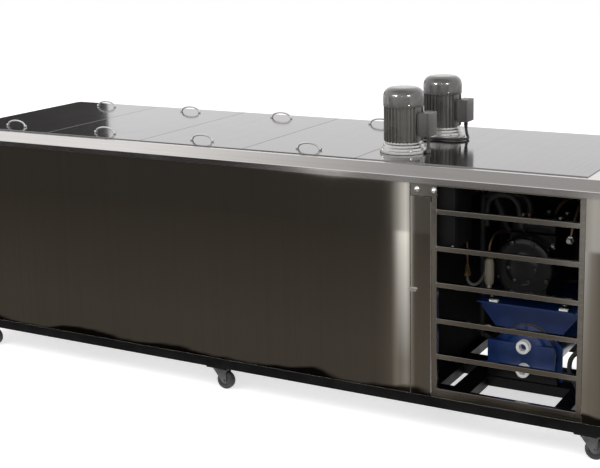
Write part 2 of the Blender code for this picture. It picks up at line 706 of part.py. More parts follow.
def build_deck_plate():
    """Plate that carries the motors, with a hole for each shaft, two stiffeners and a cable gland."""
    bottom = DECK + GAP
    right = RIGHT - RIGHT_STRIP
    plate = box((DECK_X, FRONT + LID_FRONT, bottom), (right, REAR - LID_FRONT, bottom + PLATE))
    rib_y = LID_FRONT + PLUG_INSET_Y
    ribs = []
    for side in (-1, 1):
        x = MOTOR_X + side * 0.055
        rib = box((x - PLATE / 2, FRONT + rib_y, DECK - 0.022), (x + PLATE / 2, REAR - rib_y, bottom + PLATE / 2))
        ribs.append(rib)
    x, y = MOTOR_X + DECK_GLAND[0], FRONT + MOTOR_INSETS_Y["rear"] + DECK_GLAND[1]
    z = PLATE_TOP + DECK_GLAND[2]
    gland = cylinder(GLAND_RADIUS, (x, y - 0.022, z), (x, y - GAP, z), 16)
    elbow = cylinder(GLAND_RADIUS + 0.003, (x, y - 0.024, PLATE_TOP - PLATE / 2), (x, y - 0.024, z + GLAND_RADIUS), 16)
    plate = join(plate, *ribs, elbow, gland)
    bores = [
        cylinder(SHAFT_RADIUS + 0.002, (MOTOR_X, FRONT + inset, DECK - SHEET), (MOTOR_X, FRONT + inset, DECK + 0.01), 20)
        for inset in MOTOR_INSETS_Y.values()
    ]
    finish(cut(plate, *bores), "deck_plate", STEEL)


# ---- Agitators -----------------------------------------------------------------------------------
def motor_housing_shape():
    """Finned body on a bell and a round flange, bored for the shaft, about the motor's axis."""
    pitch = tau / FIN_COUNT
    tip = 0.0016 / FIN_RADIUS
    root = 0.0024 / FIN_ROOT
    star = []
    for i in range(FIN_COUNT):
        middle = i * pitch
        for radius, angle in (
            (FIN_ROOT, middle - root), (FIN_RADIUS, middle - tip), (FIN_RADIUS, middle + tip), (FIN_ROOT, middle + root),
        ):
            star.append((radius * cos(angle), radius * sin(angle)))
    fins = outline([star], BELL_HEIGHT - 0.004, FIN_TOP)
    bell = turned(
        [(0, BELL_HEIGHT), (FIN_ROOT - 0.003, BELL_HEIGHT), (FIN_ROOT + 0.004, 0.030), (FIN_ROOT + 0.006, 0.013),
         (FLANGE_RADIUS, 0.012), (FLANGE_RADIUS, 0.0), (0, 0)], 36)
    body = join(bell, fins)
    return cut(body, bore_cutter(SHAFT_RADIUS + RUNNING_GAP, (0, 0, -0.01), (0, 0, MOTOR_HEIGHT), 20))


def fan_cover_shape():
    """Domed sheet cover that stands on the fins."""
    bottom = FIN_TOP + GAP
    wall = SHEET
    r, round_r = COVER_RADIUS, COVER_ROUND
    outer = [(p, q) for p, q in reversed(arc(round_r, 0, 90, 6, (r - round_r, MOTOR_HEIGHT - round_r)))]
    inner = arc(round_r - wall, 0, 90, 4, (r - round_r, MOTOR_HEIGHT - round_r))
    profile = [(0, MOTOR_HEIGHT), *outer, (r, bottom), (r - wall, bottom), *inner, (0, MOTOR_HEIGHT - wall)]
    return turned(profile, 28)


def agitator_shaft_shape():
    """Shaft with the cooling fan at its top and a three-bladed propeller at its foot."""
    s = SHAFT_RADIUS
    fan = 0.055
    fan_top = MOTOR_HEIGHT - 0.026
    top = MOTOR_HEIGHT - 0.014
    hub = s + 0.007
    profile = [
        (0, top), (s, top), (s, fan_top), (fan, fan_top), (fan, fan_top - 0.007), (s, fan_top - 0.007),
        (s, -SHAFT_DEPTH), (hub, -SHAFT_DEPTH), (hub, -SHAFT_DEPTH - 0.040), (0, -SHAFT_DEPTH - 0.040),
    ]
    shaft = turned(profile, 20)
    blades = []
    pitch = radians(35)
    for i in range(3):
        turn = i * tau / 3
        blade = box((s, -0.013, -0.0015), (PROPELLER_RADIUS, 0.013, 0.0015))
        for vertex in blade.data.vertices:
            x, y, z = vertex.co
            y, z = y * cos(pitch) - z * sin(pitch), y * sin(pitch) + z * cos(pitch)
            vertex.co = Vector((x * cos(turn) - y * sin(turn), x * sin(turn) + y * cos(turn), z - SHAFT_DEPTH - 0.020))
        blades.append(blade)
    return join(shaft, *blades)


def terminal_box_shape(conduit_end):
    """Terminal box on the motor's right side, with a gland that reaches down to the given level."""
    near = FIN_RADIUS + GAP
    half = BOX_WIDTH / 2
    case = box((near, -half, BOX_BOTTOM), (near + BOX_DEPTH, half, BOX_BOTTOM + BOX_HEIGHT), bevel=0.004)
    x = CABLE_ROUTE[0][0]
    gland = cylinder(GLAND_RADIUS, (x, 0, conduit_end), (x, 0, BOX_BOTTOM + 0.004), 16)
    return join(case, gland)


def build_agitators():
    """Two stirring motors on the deck plate, with their shafts down in the tank."""
    for row, inset in MOTOR_INSETS_Y.items():
        base = (MOTOR_X, FRONT + inset, PLATE_TOP + GAP)
        gland_end = GAP if row == "front" else BOX_BOTTOM - GLAND_LENGTH
        pieces = (
            (motor_housing_shape(), f"{row}_motor_housing", MOTOR_GREY, False),
            (fan_cover_shape(), f"{row}_fan_cover", MOTOR_GREY, True),
            (terminal_box_shape(gland_end), f"{row}_terminal_box", MOTOR_GREY, False),
            (agitator_shaft_shape(), f"{row}_agitator_shaft", STEEL, True),
        )
        for shape, name, mat, smooth in pieces:
            finish(shape, name, mat, smooth=smooth).location = base
    x, y, z = MOTOR_X, FRONT + MOTOR_INSETS_Y["rear"], PLATE_TOP
    route = [(x + a, y + b, z + c) for a, b, c in CABLE_ROUTE]
    finish(tube(smooth_route(route, CABLE_STEP), CABLE_RADIUS), "rear_motor_cable", RUBBER, smooth=True)


# ---- Machine bay front ---------------------------------------------------------------------------
def grille_gaps():
    """Low and high edge of each gap between the grille's bars, from the bottom rail up to its top rail."""
    first = PANEL_BOTTOM + BOTTOM_RAIL + FIRST_GAP
    bars = [first + i * BAR_PITCH for i in range(BAR_COUNT)]
    lows = [PANEL_BOTTOM + BOTTOM_RAIL, *[bar + BAR for bar in bars]]
    return list(zip(lows, [*bars, PANEL_TOP - STILE]))


def grille_left():
    """Bulkhead to the left stile."""
    return SHEET + GAP + COVER_WIDTH + HINGE_ROOM


def grille_right():
    """Bulkhead to the right end of the grille."""
    return grille_left() + 2 * STILE + OPENING


def button_places():
    z = PANEL_TOP - HEADER_HEIGHT / 2 - 0.006
    return {"start_button": (BAY_X + 0.028, z), "stop_button": (BAY_X + 0.094, z)}


def build_grille():
    """Welded bars over the bay's opening, and the control strip beside their top."""
    front = FRONT + PANEL_INSET
    left, right = BAY_X + grille_left(), BAY_X + grille_right()
    low, high = PANEL_BOTTOM, PANEL_TOP
    header_low = high - HEADER_HEIGHT
    strip = BAY_X + SHEET + GAP
    outside = [(left, low), (right, low), (right, high), (strip, high), (strip, header_low), (left, header_low)]
    grille = outline([outside], front, front + GRILLE_DEPTH, "XZ")
    holes = []
    for hole_low, hole_high in grille_gaps():
        holes.append(box((left + STILE, front - SHEET, hole_low),
                         (right - STILE, front + GRILLE_DEPTH + SHEET, hole_high)))
    depth = BUTTON_LENGTH + BUTTON_TRAVEL + GAP - BUTTON_DOME
    sockets = [
        bore_cutter(BUTTON_RADIUS + RUNNING_GAP, (x, front - SHEET, z), (x, front + depth, z), 20)
        for x, z in button_places().values()
    ]
    finish(cut(grille, *holes, *sockets), "bay_grille", STEEL)
    for name, (x, z) in button_places().items():
        r, dome = BUTTON_RADIUS, BUTTON_DOME
        nose = [(r * sin(radians(a)), dome * cos(radians(a))) for a in (0, 25, 50, 75, 90)]
        profile = [*nose, (r, dome - BUTTON_LENGTH), (0, dome - BUTTON_LENGTH)]
        button = turned_along_y(profile, 20, x, front, z)
        finish(button, name, STEEL, pivot=(x, front, z), smooth=True)


def build_control_cover():
    """Narrow hinged cover beside the grille, with its quarter-turn latch."""
    front = FRONT + PANEL_INSET
    left = BAY_X + SHEET + GAP
    right = left + COVER_WIDTH
    z = BASE_BOTTOM + LATCH_HEIGHT
    latch_x = left + 0.016
    cover = box((left, front, PANEL_BOTTOM), (right, front + PLATE, PANEL_TOP - HEADER_HEIGHT - SHEET))
    hole = bore_cutter(LATCH_SHAFT + RUNNING_GAP, (latch_x, front - PLATE, z), (latch_x, front + 2 * PLATE, z), 16)
    hinge = (right + 0.001, front - 0.001, z)
    finish(cut(cover, hole), "control_cover", STEEL, pivot=hinge)

    knob_half = 0.0065
    wing = [*arc(knob_half, 90, 270, 6, (latch_x - 0.016, z)), *arc(knob_half, -90, 90, 6, (latch_x + 0.004, z))]
    knob = outline([wing], front - GAP - 0.0065, front - GAP, "XZ")
    shaft = cylinder(LATCH_SHAFT, (latch_x, front - 0.004, z), (latch_x, front + 0.010, z), 16)
    cam = box((latch_x - 0.004, front + 0.0065, z - 0.0145), (latch_x + 0.004, front + 0.009, z + 0.004))
    finish(join(knob, shaft, cam), "panel_latch", STEEL, pivot=(latch_x, front, z))


def build_control_box():
    """Electrical box on the bulkhead, behind the control strip."""
    left = BAY_X + SHEET + GAP
    case = box(
        (left, FRONT + 0.045, DECK - 0.300), (left + 0.160, FRONT + 0.205, DECK - 0.060), bevel=0.003
    )
    finish(case, "control_box", MOTOR_GREY)


# ---- Cooling unit --------------------------------------------------------------------------------
def along_y(radius, y_start, y_end, x, z, sides=32):
    return cylinder(radius, (x, FRONT + y_start, z), (x, FRONT + y_end, z), sides)


def foot_plate(y):
    """Upright blue plate from the base frame to the condenser's axis."""
    half = FOOT_WIDTH / 2
    low, high = BASE_TOP + GAP, CONDENSER_Z + 0.050
    shape = [(UNIT_X - half, low), (UNIT_X + half, low), (UNIT_X + half, high - 0.02), (UNIT_X + half - 0.02, high),
             (UNIT_X - half + 0.02, high), (UNIT_X - half, high - 0.02)]
    return outline([shape], FRONT + y, FRONT + y + SADDLE_PLATE, "XZ")


def saddle_plate(y):
    """Tapering plate between the condenser and the tray above it."""
    half = SADDLE_WIDTH / 2
    shape = [(UNIT_X - half, SADDLE_Z - 0.004), (UNIT_X - half, SADDLE_Z - 0.035), (UNIT_X - 0.105, CONDENSER_Z + 0.050),
             (UNIT_X + 0.105, CONDENSER_Z + 0.050), (UNIT_X + half, SADDLE_Z - 0.035), (UNIT_X + half, SADDLE_Z - 0.004)]
    return outline([shape], FRONT + y, FRONT + y + SADDLE_PLATE, "XZ")


def discharge_route():
    """Points from the compressor's head over and down to the condenser's side."""
    y = FRONT + 0.430
    head_top = COMPRESSOR_Z + BLOCK_HEIGHT + HEAD_HEIGHT
    start_x = UNIT_X - 0.030
    down_x = UNIT_X - SADDLE_WIDTH / 2 - 0.026
    end_x = UNIT_X - CONDENSER_RADIUS - 0.018 - GAP
    bend = 0.045
    half_over = (start_x - down_x) / 2
    top = head_top + GAP + 0.052
    middle = (start_x + down_x) / 2
    path = [(start_x, head_top + GAP), (start_x, top)]
    path += [(middle + half_over * cos(radians(a)), top + bend * sin(radians(a))) for a in range(20, 180, 20)]
    path += [(down_x, top), (down_x, CONDENSER_Z + bend)]
    path += [(down_x + bend - bend * cos(radians(a)), CONDENSER_Z + bend - bend * sin(radians(a))) for a in (30, 60, 90)]
    path.append((end_x, CONDENSER_Z))
    return [(px, y, pz) for px, pz in path]


def suction_route():
    """Points from the bulkhead to the left side of the compressor's block."""
    y = FRONT + 0.520
    block_z = COMPRESSOR_Z + BLOCK_HEIGHT - 0.035
    end_x = UNIT_X - 0.090 - GAP
    start = (BAY_X + SHEET + GAP, y, DECK - 0.150)
    via = [(BAY_X + 0.040, y, DECK - 0.150), (BAY_X + 0.110, y, DECK - 0.165), (BAY_X + 0.165, y, block_z + 0.070),
           (end_x - 0.060, y, block_z + 0.012), (end_x - 0.025, y, block_z), (end_x, y, block_z)]
    return [start, *via]


def build_condenser():
    """Water-cooled condenser with its feet, the saddle that carries the compressor, and its end cover."""
    y0, y1 = CONDENSER_FRONT, CONDENSER_FRONT + CONDENSER_LENGTH
    shell = along_y(CONDENSER_RADIUS, y0, y1, UNIT_X, CONDENSER_Z)
    half = SADDLE_WIDTH / 2
    tray_front, tray_rear = COMPRESSOR_FRONT + 0.035, COMPRESSOR_FRONT + COMPRESSOR_LENGTH + 0.02
    tray = box((UNIT_X - half, FRONT + tray_front, SADDLE_Z - 0.006), (UNIT_X + half, FRONT + tray_rear, SADDLE_Z))
    boss = cylinder(0.016, (UNIT_X - CONDENSER_RADIUS - 0.018, FRONT + 0.430, CONDENSER_Z),
                    (UNIT_X - CONDENSER_RADIUS / 2, FRONT + 0.430, CONDENSER_Z), 16)
    parts = [foot_plate(y0 + 0.006), foot_plate(y1 - 0.015), saddle_plate(y0 + 0.004), saddle_plate(tray_rear - 0.02)]
    shell = join(shell, *parts, tray, boss)
    bore = along_y(CONDENSER_RADIUS - CONDENSER_WALL, y0 - 0.01, y1 - CONDENSER_WALL, UNIT_X, CONDENSER_Z)
    finish(cut(shell, bore), "condenser_shell", BLUE_PAINT)

    r = CONDENSER_RADIUS
    profile = [(0, END_COVER_DEPTH), (r - 0.022, END_COVER_DEPTH), (r - 0.008, END_COVER_DEPTH - 0.010),
               (r, 0.016), (r, 0.0), (0, 0)]
    cover = turned_along_y(profile, 32, UNIT_X, FRONT + y0 - GAP, CONDENSER_Z)
    finish(cover, "condenser_end_cover", BLUE_PAINT)
    face = y0 - GAP - END_COVER_DEPTH
    for name, height in zip(("water_outlet", "water_inlet"), reversed(PORT_HEIGHTS)):
        ring = [(PORT_BORE, PORT_LENGTH), (PORT_RADIUS, PORT_LENGTH), (PORT_RADIUS, 0), (PORT_BORE, 0)]
        port = turned([*ring], 24, closed=True)
        for vertex in port.data.vertices:
            px, py, pz = vertex.co
            vertex.co = Vector((UNIT_X + px, FRONT + face - GAP - pz, CONDENSER_Z + height + py))
        finish(port, name, WHITE_PLASTIC, smooth=True)


def build_compressor():
    """Semi-hermetic compressor on rubber mounts, with its cylinder head."""
    y0 = COMPRESSOR_FRONT
    y1 = y0 + COMPRESSOR_LENGTH
    r, bell = COMPRESSOR_RADIUS, BELL_RADIUS
    profile = [(0, 0.0), (bell - 0.030, 0.0), (bell - 0.008, -0.012), (bell - 0.004, -0.020), (bell - 0.004, -0.034),
               (r, -0.040), (r, -0.338), (bell - 0.006, -0.344), (bell - 0.006, -0.360), (r - 0.006, -0.366),
               (r - 0.006, y0 - y1 + 0.030), (r - 0.034, y0 - y1), (0, y0 - y1)]
    body = turned_along_y(profile, 28, UNIT_X, FRONT + y0, COMPRESSOR_Z)
    foot = box((UNIT_X - 0.168, FRONT + y0 + 0.060, FEET_Z), (UNIT_X + 0.168, FRONT + y0 + 0.100, FEET_Z + 0.012))
    foot_rear = box((UNIT_X - 0.168, FRONT + y1 - 0.090, FEET_Z), (UNIT_X + 0.168, FRONT + y1 - 0.050, FEET_Z + 0.012))
    pedestal = box((UNIT_X - 0.075, FRONT + y0 + 0.060, FEET_Z + 0.001), (UNIT_X + 0.075, FRONT + y1 - 0.050, COMPRESSOR_Z))
    block_y = (y0 + 0.120, y0 + 0.330)
    top = COMPRESSOR_Z + BLOCK_HEIGHT
    block = box((UNIT_X - 0.090, FRONT + block_y[0], COMPRESSOR_Z), (UNIT_X + 0.090, FRONT + block_y[1], top))
    mounts = []
    for side in (-1, 1):
        for y in (y0 + 0.080, y1 - 0.070):
            x = UNIT_X + side * MOUNT_SPACING / 2
            mounts.append(cylinder(MOUNT_RADIUS, (x, FRONT + y, SADDLE_Z + GAP), (x, FRONT + y, FEET_Z + 0.002), 16))
    body = join(body, foot, foot_rear, pedestal, block, *mounts)
    finish(body, "compressor_body", BLACK_PAINT)
    head = box((UNIT_X - 0.086, FRONT + block_y[0] + 0.004, top + GAP),
               (UNIT_X + 0.086, FRONT + block_y[1] - 0.004, top + HEAD_HEIGHT), bevel=0.010, segments=2)
    finish(head, "compressor_head", BLACK_PAINT)
    finish(tube(smooth_route(discharge_route(), 0.026), DISCHARGE_RADIUS, 2), "discharge_pipe", COPPER, smooth=True)
    finish(tube(smooth_route(suction_route(), 0.026), SUCTION_RADIUS, 2), "suction_pipe", COPPER, smooth=True)


build_base_frame()
build_castors()
build_tank()
build_drain()
build_panels()
build_rim()
build_lids()
build_deck_plate()
build_agitators()
build_grille()
build_control_cover()
build_control_box()
build_condenser()
build_compressor()
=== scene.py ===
"""Looks of a long bulk milk tank: satin sheet steel, finned stirring motors and a cooling unit behind a grille.

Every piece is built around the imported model, in metres, with +X towards the machine bay and the front facing -Y.
Outlines and routes of fixed size are written in millimetres and pass through mm().
"""
from __future__ import annotations

import logging
from dataclasses import dataclass
from enum import Enum
from math import atan2, cos, pi, radians, sin, tau
from typing import Callable, Iterable, Sequence

import bmesh
import bpy
from mathutils import Matrix, Quaternion, Vector

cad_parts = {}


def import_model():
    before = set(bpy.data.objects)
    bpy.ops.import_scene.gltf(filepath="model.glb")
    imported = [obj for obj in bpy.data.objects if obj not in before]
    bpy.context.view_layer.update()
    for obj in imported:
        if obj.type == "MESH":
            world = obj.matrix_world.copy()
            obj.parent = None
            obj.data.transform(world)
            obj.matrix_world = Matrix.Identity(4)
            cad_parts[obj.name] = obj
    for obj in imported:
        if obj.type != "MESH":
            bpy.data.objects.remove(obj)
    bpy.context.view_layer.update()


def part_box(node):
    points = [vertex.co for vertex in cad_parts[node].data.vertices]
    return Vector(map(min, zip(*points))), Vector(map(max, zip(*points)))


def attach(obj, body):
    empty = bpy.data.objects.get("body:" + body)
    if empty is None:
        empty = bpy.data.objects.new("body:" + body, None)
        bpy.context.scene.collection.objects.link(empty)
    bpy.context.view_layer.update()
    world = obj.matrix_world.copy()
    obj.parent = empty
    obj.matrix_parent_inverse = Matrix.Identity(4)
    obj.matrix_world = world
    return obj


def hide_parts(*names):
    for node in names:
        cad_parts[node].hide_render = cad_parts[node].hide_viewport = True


log = logging.getLogger("milk_tank")
Place = tuple[float, float, float]
Colour = tuple[float, float, float]
Outline = Sequence[tuple[float, float]]
Spots = Sequence[tuple[Vector, Vector]]
Turns = Sequence[tuple[Vector, Quaternion]]
Obj = bpy.types.Object
Node = bpy.types.Node
Socket = bpy.types.NodeSocket
CHASSIS = "chassis"
WHITE = (1.0, 1.0, 1.0, 1.0)
UP = Vector((0, 0, 1))


class Axis(Enum):
    """A direction along one of the tank's own axes."""

    X = (1.0, 0.0, 0.0)
    Y = (0.0, 1.0, 0.0)
    Z = (0.0, 0.0, 1.0)
    FRONT = (0.0, -1.0, 0.0)
    DOWN = (0.0, 0.0, -1.0)
    LEFT = (-1.0, 0.0, 0.0)


def mm(*points: Sequence[float]) -> list[tuple[float, ...]]:
    """Points given in millimetres, in metres."""
    return [tuple(value / 1000 for value in point) for point in points]


def arc(start: int, end: int, step: int) -> list[float]:
    """Angles from start to end, given in degrees, in radians."""
    return [radians(degrees) for degrees in range(start, end, step)]


def circle(count: int, start: float = 0.0) -> list[tuple[float, float]]:
    """Places on a circle of radius 1."""
    return [(cos(start + tau * i / count), sin(start + tau * i / count)) for i in range(count)]


def shade(colour: Colour, factor: float) -> Colour:
    """A colour made darker or lighter."""
    return tuple(min(1.0, c * factor) for c in colour)


class Box:
    """Corners, middle and size of a CAD piece."""

    def __init__(self, node: str) -> None:
        """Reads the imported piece."""
        self.low, self.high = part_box(node)
        self.x, self.y, self.z = ((a + b) / 2 for a, b in zip(self.low, self.high))
        self.wide, self.deep, self.tall = (b - a for a, b in zip(self.low, self.high))


# ---- Finishes ------------------------------------------------------------------------------------
class Wiring:
    """A node tree, with short calls that add and link nodes."""

    def __init__(self, tree: bpy.types.NodeTree) -> None:
        """Takes the tree that the nodes go into."""
        self.tree = tree

    def feed(self, socket: Socket, value: object) -> None:
        """Links an output to a socket, or sets the socket's own value."""
        if isinstance(value, Socket):
            self.tree.links.new(value, socket)
        else:
            socket.default_value = value

    def add(self, kind: str, inputs: dict | None = None, **settings: object) -> Node:
        """Adds a node.

        Args:
            kind: The node's type name.
            inputs: Values or output sockets for its inputs, by name or number.
            **settings: Properties of the node.

        Returns:
            The new node.
        """
        node = self.tree.nodes.new(kind)
        for key, value in settings.items():
            setattr(node, key, value)
        for key, value in (inputs or {}).items():
            self.feed(node.inputs[key], value)
        return node

    def math(self, first: object, second: object, kind: str = "ADD") -> Socket:
        """Adds, multiplies or otherwise combines two numbers."""
        return self.add("ShaderNodeMath", {0: first, 1: second}, operation=kind).outputs[0]


class ShaderSheet(Wiring):
    """A material's node tree, with short calls for the nodes that the finishes use."""

    def __init__(self, name: str) -> None:
        """Starts a material with a Principled shader."""
        self.material = bpy.data.materials.new(name)
        self.material.use_nodes = True
        super().__init__(self.material.node_tree)
        self.place = self.add("ShaderNodeTexCoord").outputs["Object"]

    def principled(self, **values: object) -> None:
        """Sets the main shader's inputs, with underscores for the spaces in their names."""
        for key, value in values.items():
            self.feed(self.tree.nodes["Principled BSDF"].inputs[key.replace("_", " ")], value)

    def part(self, axis: str) -> Socket:
        """One of the Object coordinates."""
        return self.add("ShaderNodeSeparateXYZ", {"Vector": self.place}).outputs[axis]

    def noise(self, scale: float, detail: float = 3.0, roughness: float = 0.5, distortion: float = 0.0,
              stretch: Place | None = None) -> Socket:
        """Fractal noise between 0 and 1, on coordinates that may be scaled along each axis."""
        vector = self.place
        if stretch:
            vector = self.add("ShaderNodeMapping", {"Vector": vector, "Scale": stretch}).outputs["Vector"]
        return self.add("ShaderNodeTexNoise", {"Vector": vector, "Scale": scale, "Detail": detail,
                                               "Roughness": roughness, "Distortion": distortion}).outputs["Fac"]

    def spread(self, value: Socket, low: float, high: float, start: float = 0.35, end: float = 0.65) -> Socket:
        """Maps a value between start and end to the range from low to high, and clamps it."""
        return self.add("ShaderNodeMapRange", {"Value": value, "From Min": start, "From Max": end,
                                               "To Min": low, "To Max": high}).outputs["Result"]

    def blend(self, factor: object, first: object, second: object) -> Socket:
        """Mixes two colours."""
        first, second = ((*value, 1.0) if isinstance(value, tuple) else value for value in (first, second))
        return self.add("ShaderNodeMix", {"Factor": factor, 6: first, 7: second}, data_type="RGBA").outputs[2]

    def bump(self, height: Socket, depth: float, strength: float = 1.0, normal: Socket | None = None) -> Socket:
        """A bumped normal, stacked on another where one is given."""
        inputs = {"Height": height, "Distance": depth, "Strength": strength}
        if normal is not None:
            inputs["Normal"] = normal
        return self.add("ShaderNodeBump", inputs).outputs["Normal"]


@dataclass(frozen=True)
class Finish:
    """A surface's name, its slot in the record and its plain colour."""

    name: str
    slot: str
    colour: Colour
    roughness: float = 0.4

    def make(self) -> bpy.types.Material:
        """Gives the material, made once."""
        found = bpy.data.materials.get(self.name)
        if found is None:
            sheet = ShaderSheet(self.name)
            self.dress(sheet)
            found = sheet.material
        return found

    def dress(self, sheet: ShaderSheet) -> None:
        """Wires the shader."""
        raise NotImplementedError


@dataclass(frozen=True)
class SheetSteel(Finish):
    """Stainless sheet with a fine grain along one axis, slight waves, and faint wiping marks."""

    grain: Axis = Axis.X
    grain_depth: float = 0.00002
    wave_depth: float = 0.0006
    wave_scale: float = 2.2
    smears: float = 0.05
    tint: Colour = (0.92, 0.95, 1.0)

    def dress(self, sheet: ShaderSheet) -> None:
        """Wires grain, waves and smears to roughness, colour and normal."""
        fine, coarse = (tuple(along if part else across for part in self.grain.value)
                        for along, across in ((3.0, 420.0), (0.6, 60.0)))
        grain = sheet.noise(1.0, 2.0, 0.6, stretch=fine)
        streaks = sheet.noise(1.0, 3.0, 0.55, stretch=coarse)
        smear = sheet.noise(3.2, 4.0, 0.6, 0.8)
        rough = sheet.spread(grain, self.roughness * 0.82, self.roughness * 1.25)
        rough = sheet.math(rough, sheet.spread(smear, -self.smears * 0.4, self.smears))
        rough = sheet.math(rough, sheet.spread(streaks, self.roughness * -0.10, self.roughness * 0.15))
        tinted = tuple(c * t for c, t in zip(self.colour, self.tint))
        base = sheet.blend(sheet.spread(smear, 0.0, 0.35), self.colour, tinted)
        base = sheet.blend(sheet.spread(streaks, 0.0, 0.5, 0.45, 0.75), base, shade(self.colour, 0.86))
        waves = sheet.bump(sheet.noise(self.wave_scale, 1.0), self.wave_depth)
        normal = sheet.bump(grain, self.grain_depth, 0.5, waves)
        sheet.principled(Base_Color=base, Roughness=rough, Metallic=1.0, Normal=normal)


@dataclass(frozen=True)
class PolishedMetal(Finish):
    """Bright drawn, turned or plated metal with fine scratches and dull patches."""

    scratch: float = 0.00001
    dull: float = 0.10

    def dress(self, sheet: ShaderSheet) -> None:
        """Wires fine scratches and patches."""
        fine, patch = sheet.noise(900.0, 2.0), sheet.noise(38.0, 4.0, 0.6)
        rough = sheet.spread(fine, self.roughness * 0.8, self.roughness * 1.2)
        rough = sheet.math(rough, sheet.spread(patch, 0.0, self.dull))
        base = sheet.blend(sheet.spread(patch, 0.0, 0.5), self.colour, shade(self.colour, 0.82))
        sheet.principled(Base_Color=base, Roughness=rough, Metallic=1.0, Normal=sheet.bump(fine, self.scratch, 0.6))


@dataclass(frozen=True)
class Enamel(Finish):
    """Sprayed paint with a slight orange peel, settled dust and small scuffs."""

    coat: float = 0.4
    peel: float = 0.00006
    dust: Colour = (0.30, 0.28, 0.25)
    dusty: float = 0.10
    specular: float = 0.5

    def dress(self, sheet: ShaderSheet) -> None:
        """Wires the peel, a dust film that thickens in patches, and scuffs."""
        patch, scuff = sheet.noise(9.0, 5.0, 0.6, 0.5), sheet.noise(70.0, 5.0, 0.75)
        tone = sheet.blend(sheet.spread(patch, 0.0, 1.0), shade(self.colour, 0.85), shade(self.colour, 1.12))
        base = sheet.blend(sheet.spread(patch, 0.0, self.dusty, 0.4, 0.8), tone, self.dust)
        rough = sheet.spread(patch, self.roughness * 0.85, self.roughness * 1.25)
        rough = sheet.math(rough, sheet.spread(scuff, 0.0, 0.12, 0.55, 0.7))
        normal = sheet.bump(sheet.noise(160.0, 2.0), self.peel, 0.5)
        sheet.principled(Base_Color=base, Roughness=rough, Specular_IOR_Level=self.specular, Coat_Weight=self.coat,
                         Coat_Roughness=0.12, Normal=normal)


@dataclass(frozen=True)
class CastPaint(Finish):
    """Paint over rough cast iron, with a sand texture and oily dark patches."""

    sand: float = 0.0004
    oil: Colour = (0.01, 0.01, 0.009)

    def dress(self, sheet: ShaderSheet) -> None:
        """Wires the sand texture and the patches."""
        sand, patch = sheet.noise(260.0, 4.0, 0.65), sheet.noise(14.0, 5.0, 0.65, 0.6)
        base = sheet.blend(sheet.spread(patch, 0.0, 0.8), self.colour, self.oil)
        rough = sheet.spread(patch, self.roughness * 1.3, self.roughness * 0.7)
        sheet.principled(Base_Color=base, Roughness=rough, Specular_IOR_Level=0.3, Coat_Weight=0.1,
                         Coat_Roughness=0.1, Normal=sheet.bump(sand, self.sand, 0.6))


@dataclass(frozen=True)
class SoftSkin(Finish):
    """Rubber, plastic or foam: a matt skin with a pebble of the given size and a little dust."""

    pebble: float = 0.0001
    pebble_scale: float = 300.0
    dust: Colour = (0.35, 0.33, 0.30)
    dusty: float = 0.12
    specular: float = 0.4

    def dress(self, sheet: ShaderSheet) -> None:
        """Wires the pebble and the dust."""
        pebble, patch = sheet.noise(self.pebble_scale, 3.0), sheet.noise(24.0, 5.0, 0.65)
        base = sheet.blend(sheet.spread(patch, 0.0, self.dusty, 0.45, 0.8), self.colour, self.dust)
        rough = sheet.spread(patch, self.roughness * 0.9, min(1.0, self.roughness * 1.15))
        sheet.principled(Base_Color=base, Roughness=rough, Normal=sheet.bump(pebble, self.pebble, 0.6),
                         Specular_IOR_Level=self.specular)


@dataclass(frozen=True)
class Sleeve(Finish):
    """Foam sleeve or braid on a pipe: fine rings across the piece's own length, from its UV map."""

    rings: float = 160.0
    depth: float = 0.0002

    def dress(self, sheet: ShaderSheet) -> None:
        """Wires rings along the sleeve's length."""
        uv = sheet.add("ShaderNodeUVMap", uv_map="along").outputs["UV"]
        wave = sheet.add("ShaderNodeTexWave", {"Vector": uv, "Scale": self.rings, "Distortion": 1.5, "Detail": 2.0},
                         bands_direction="X").outputs["Fac"]
        base = sheet.blend(sheet.spread(sheet.noise(30.0, 4.0), 0.0, 0.6), self.colour, shade(self.colour, 1.6))
        sheet.principled(Base_Color=base, Roughness=self.roughness, Normal=sheet.bump(wave, self.depth, 0.5))


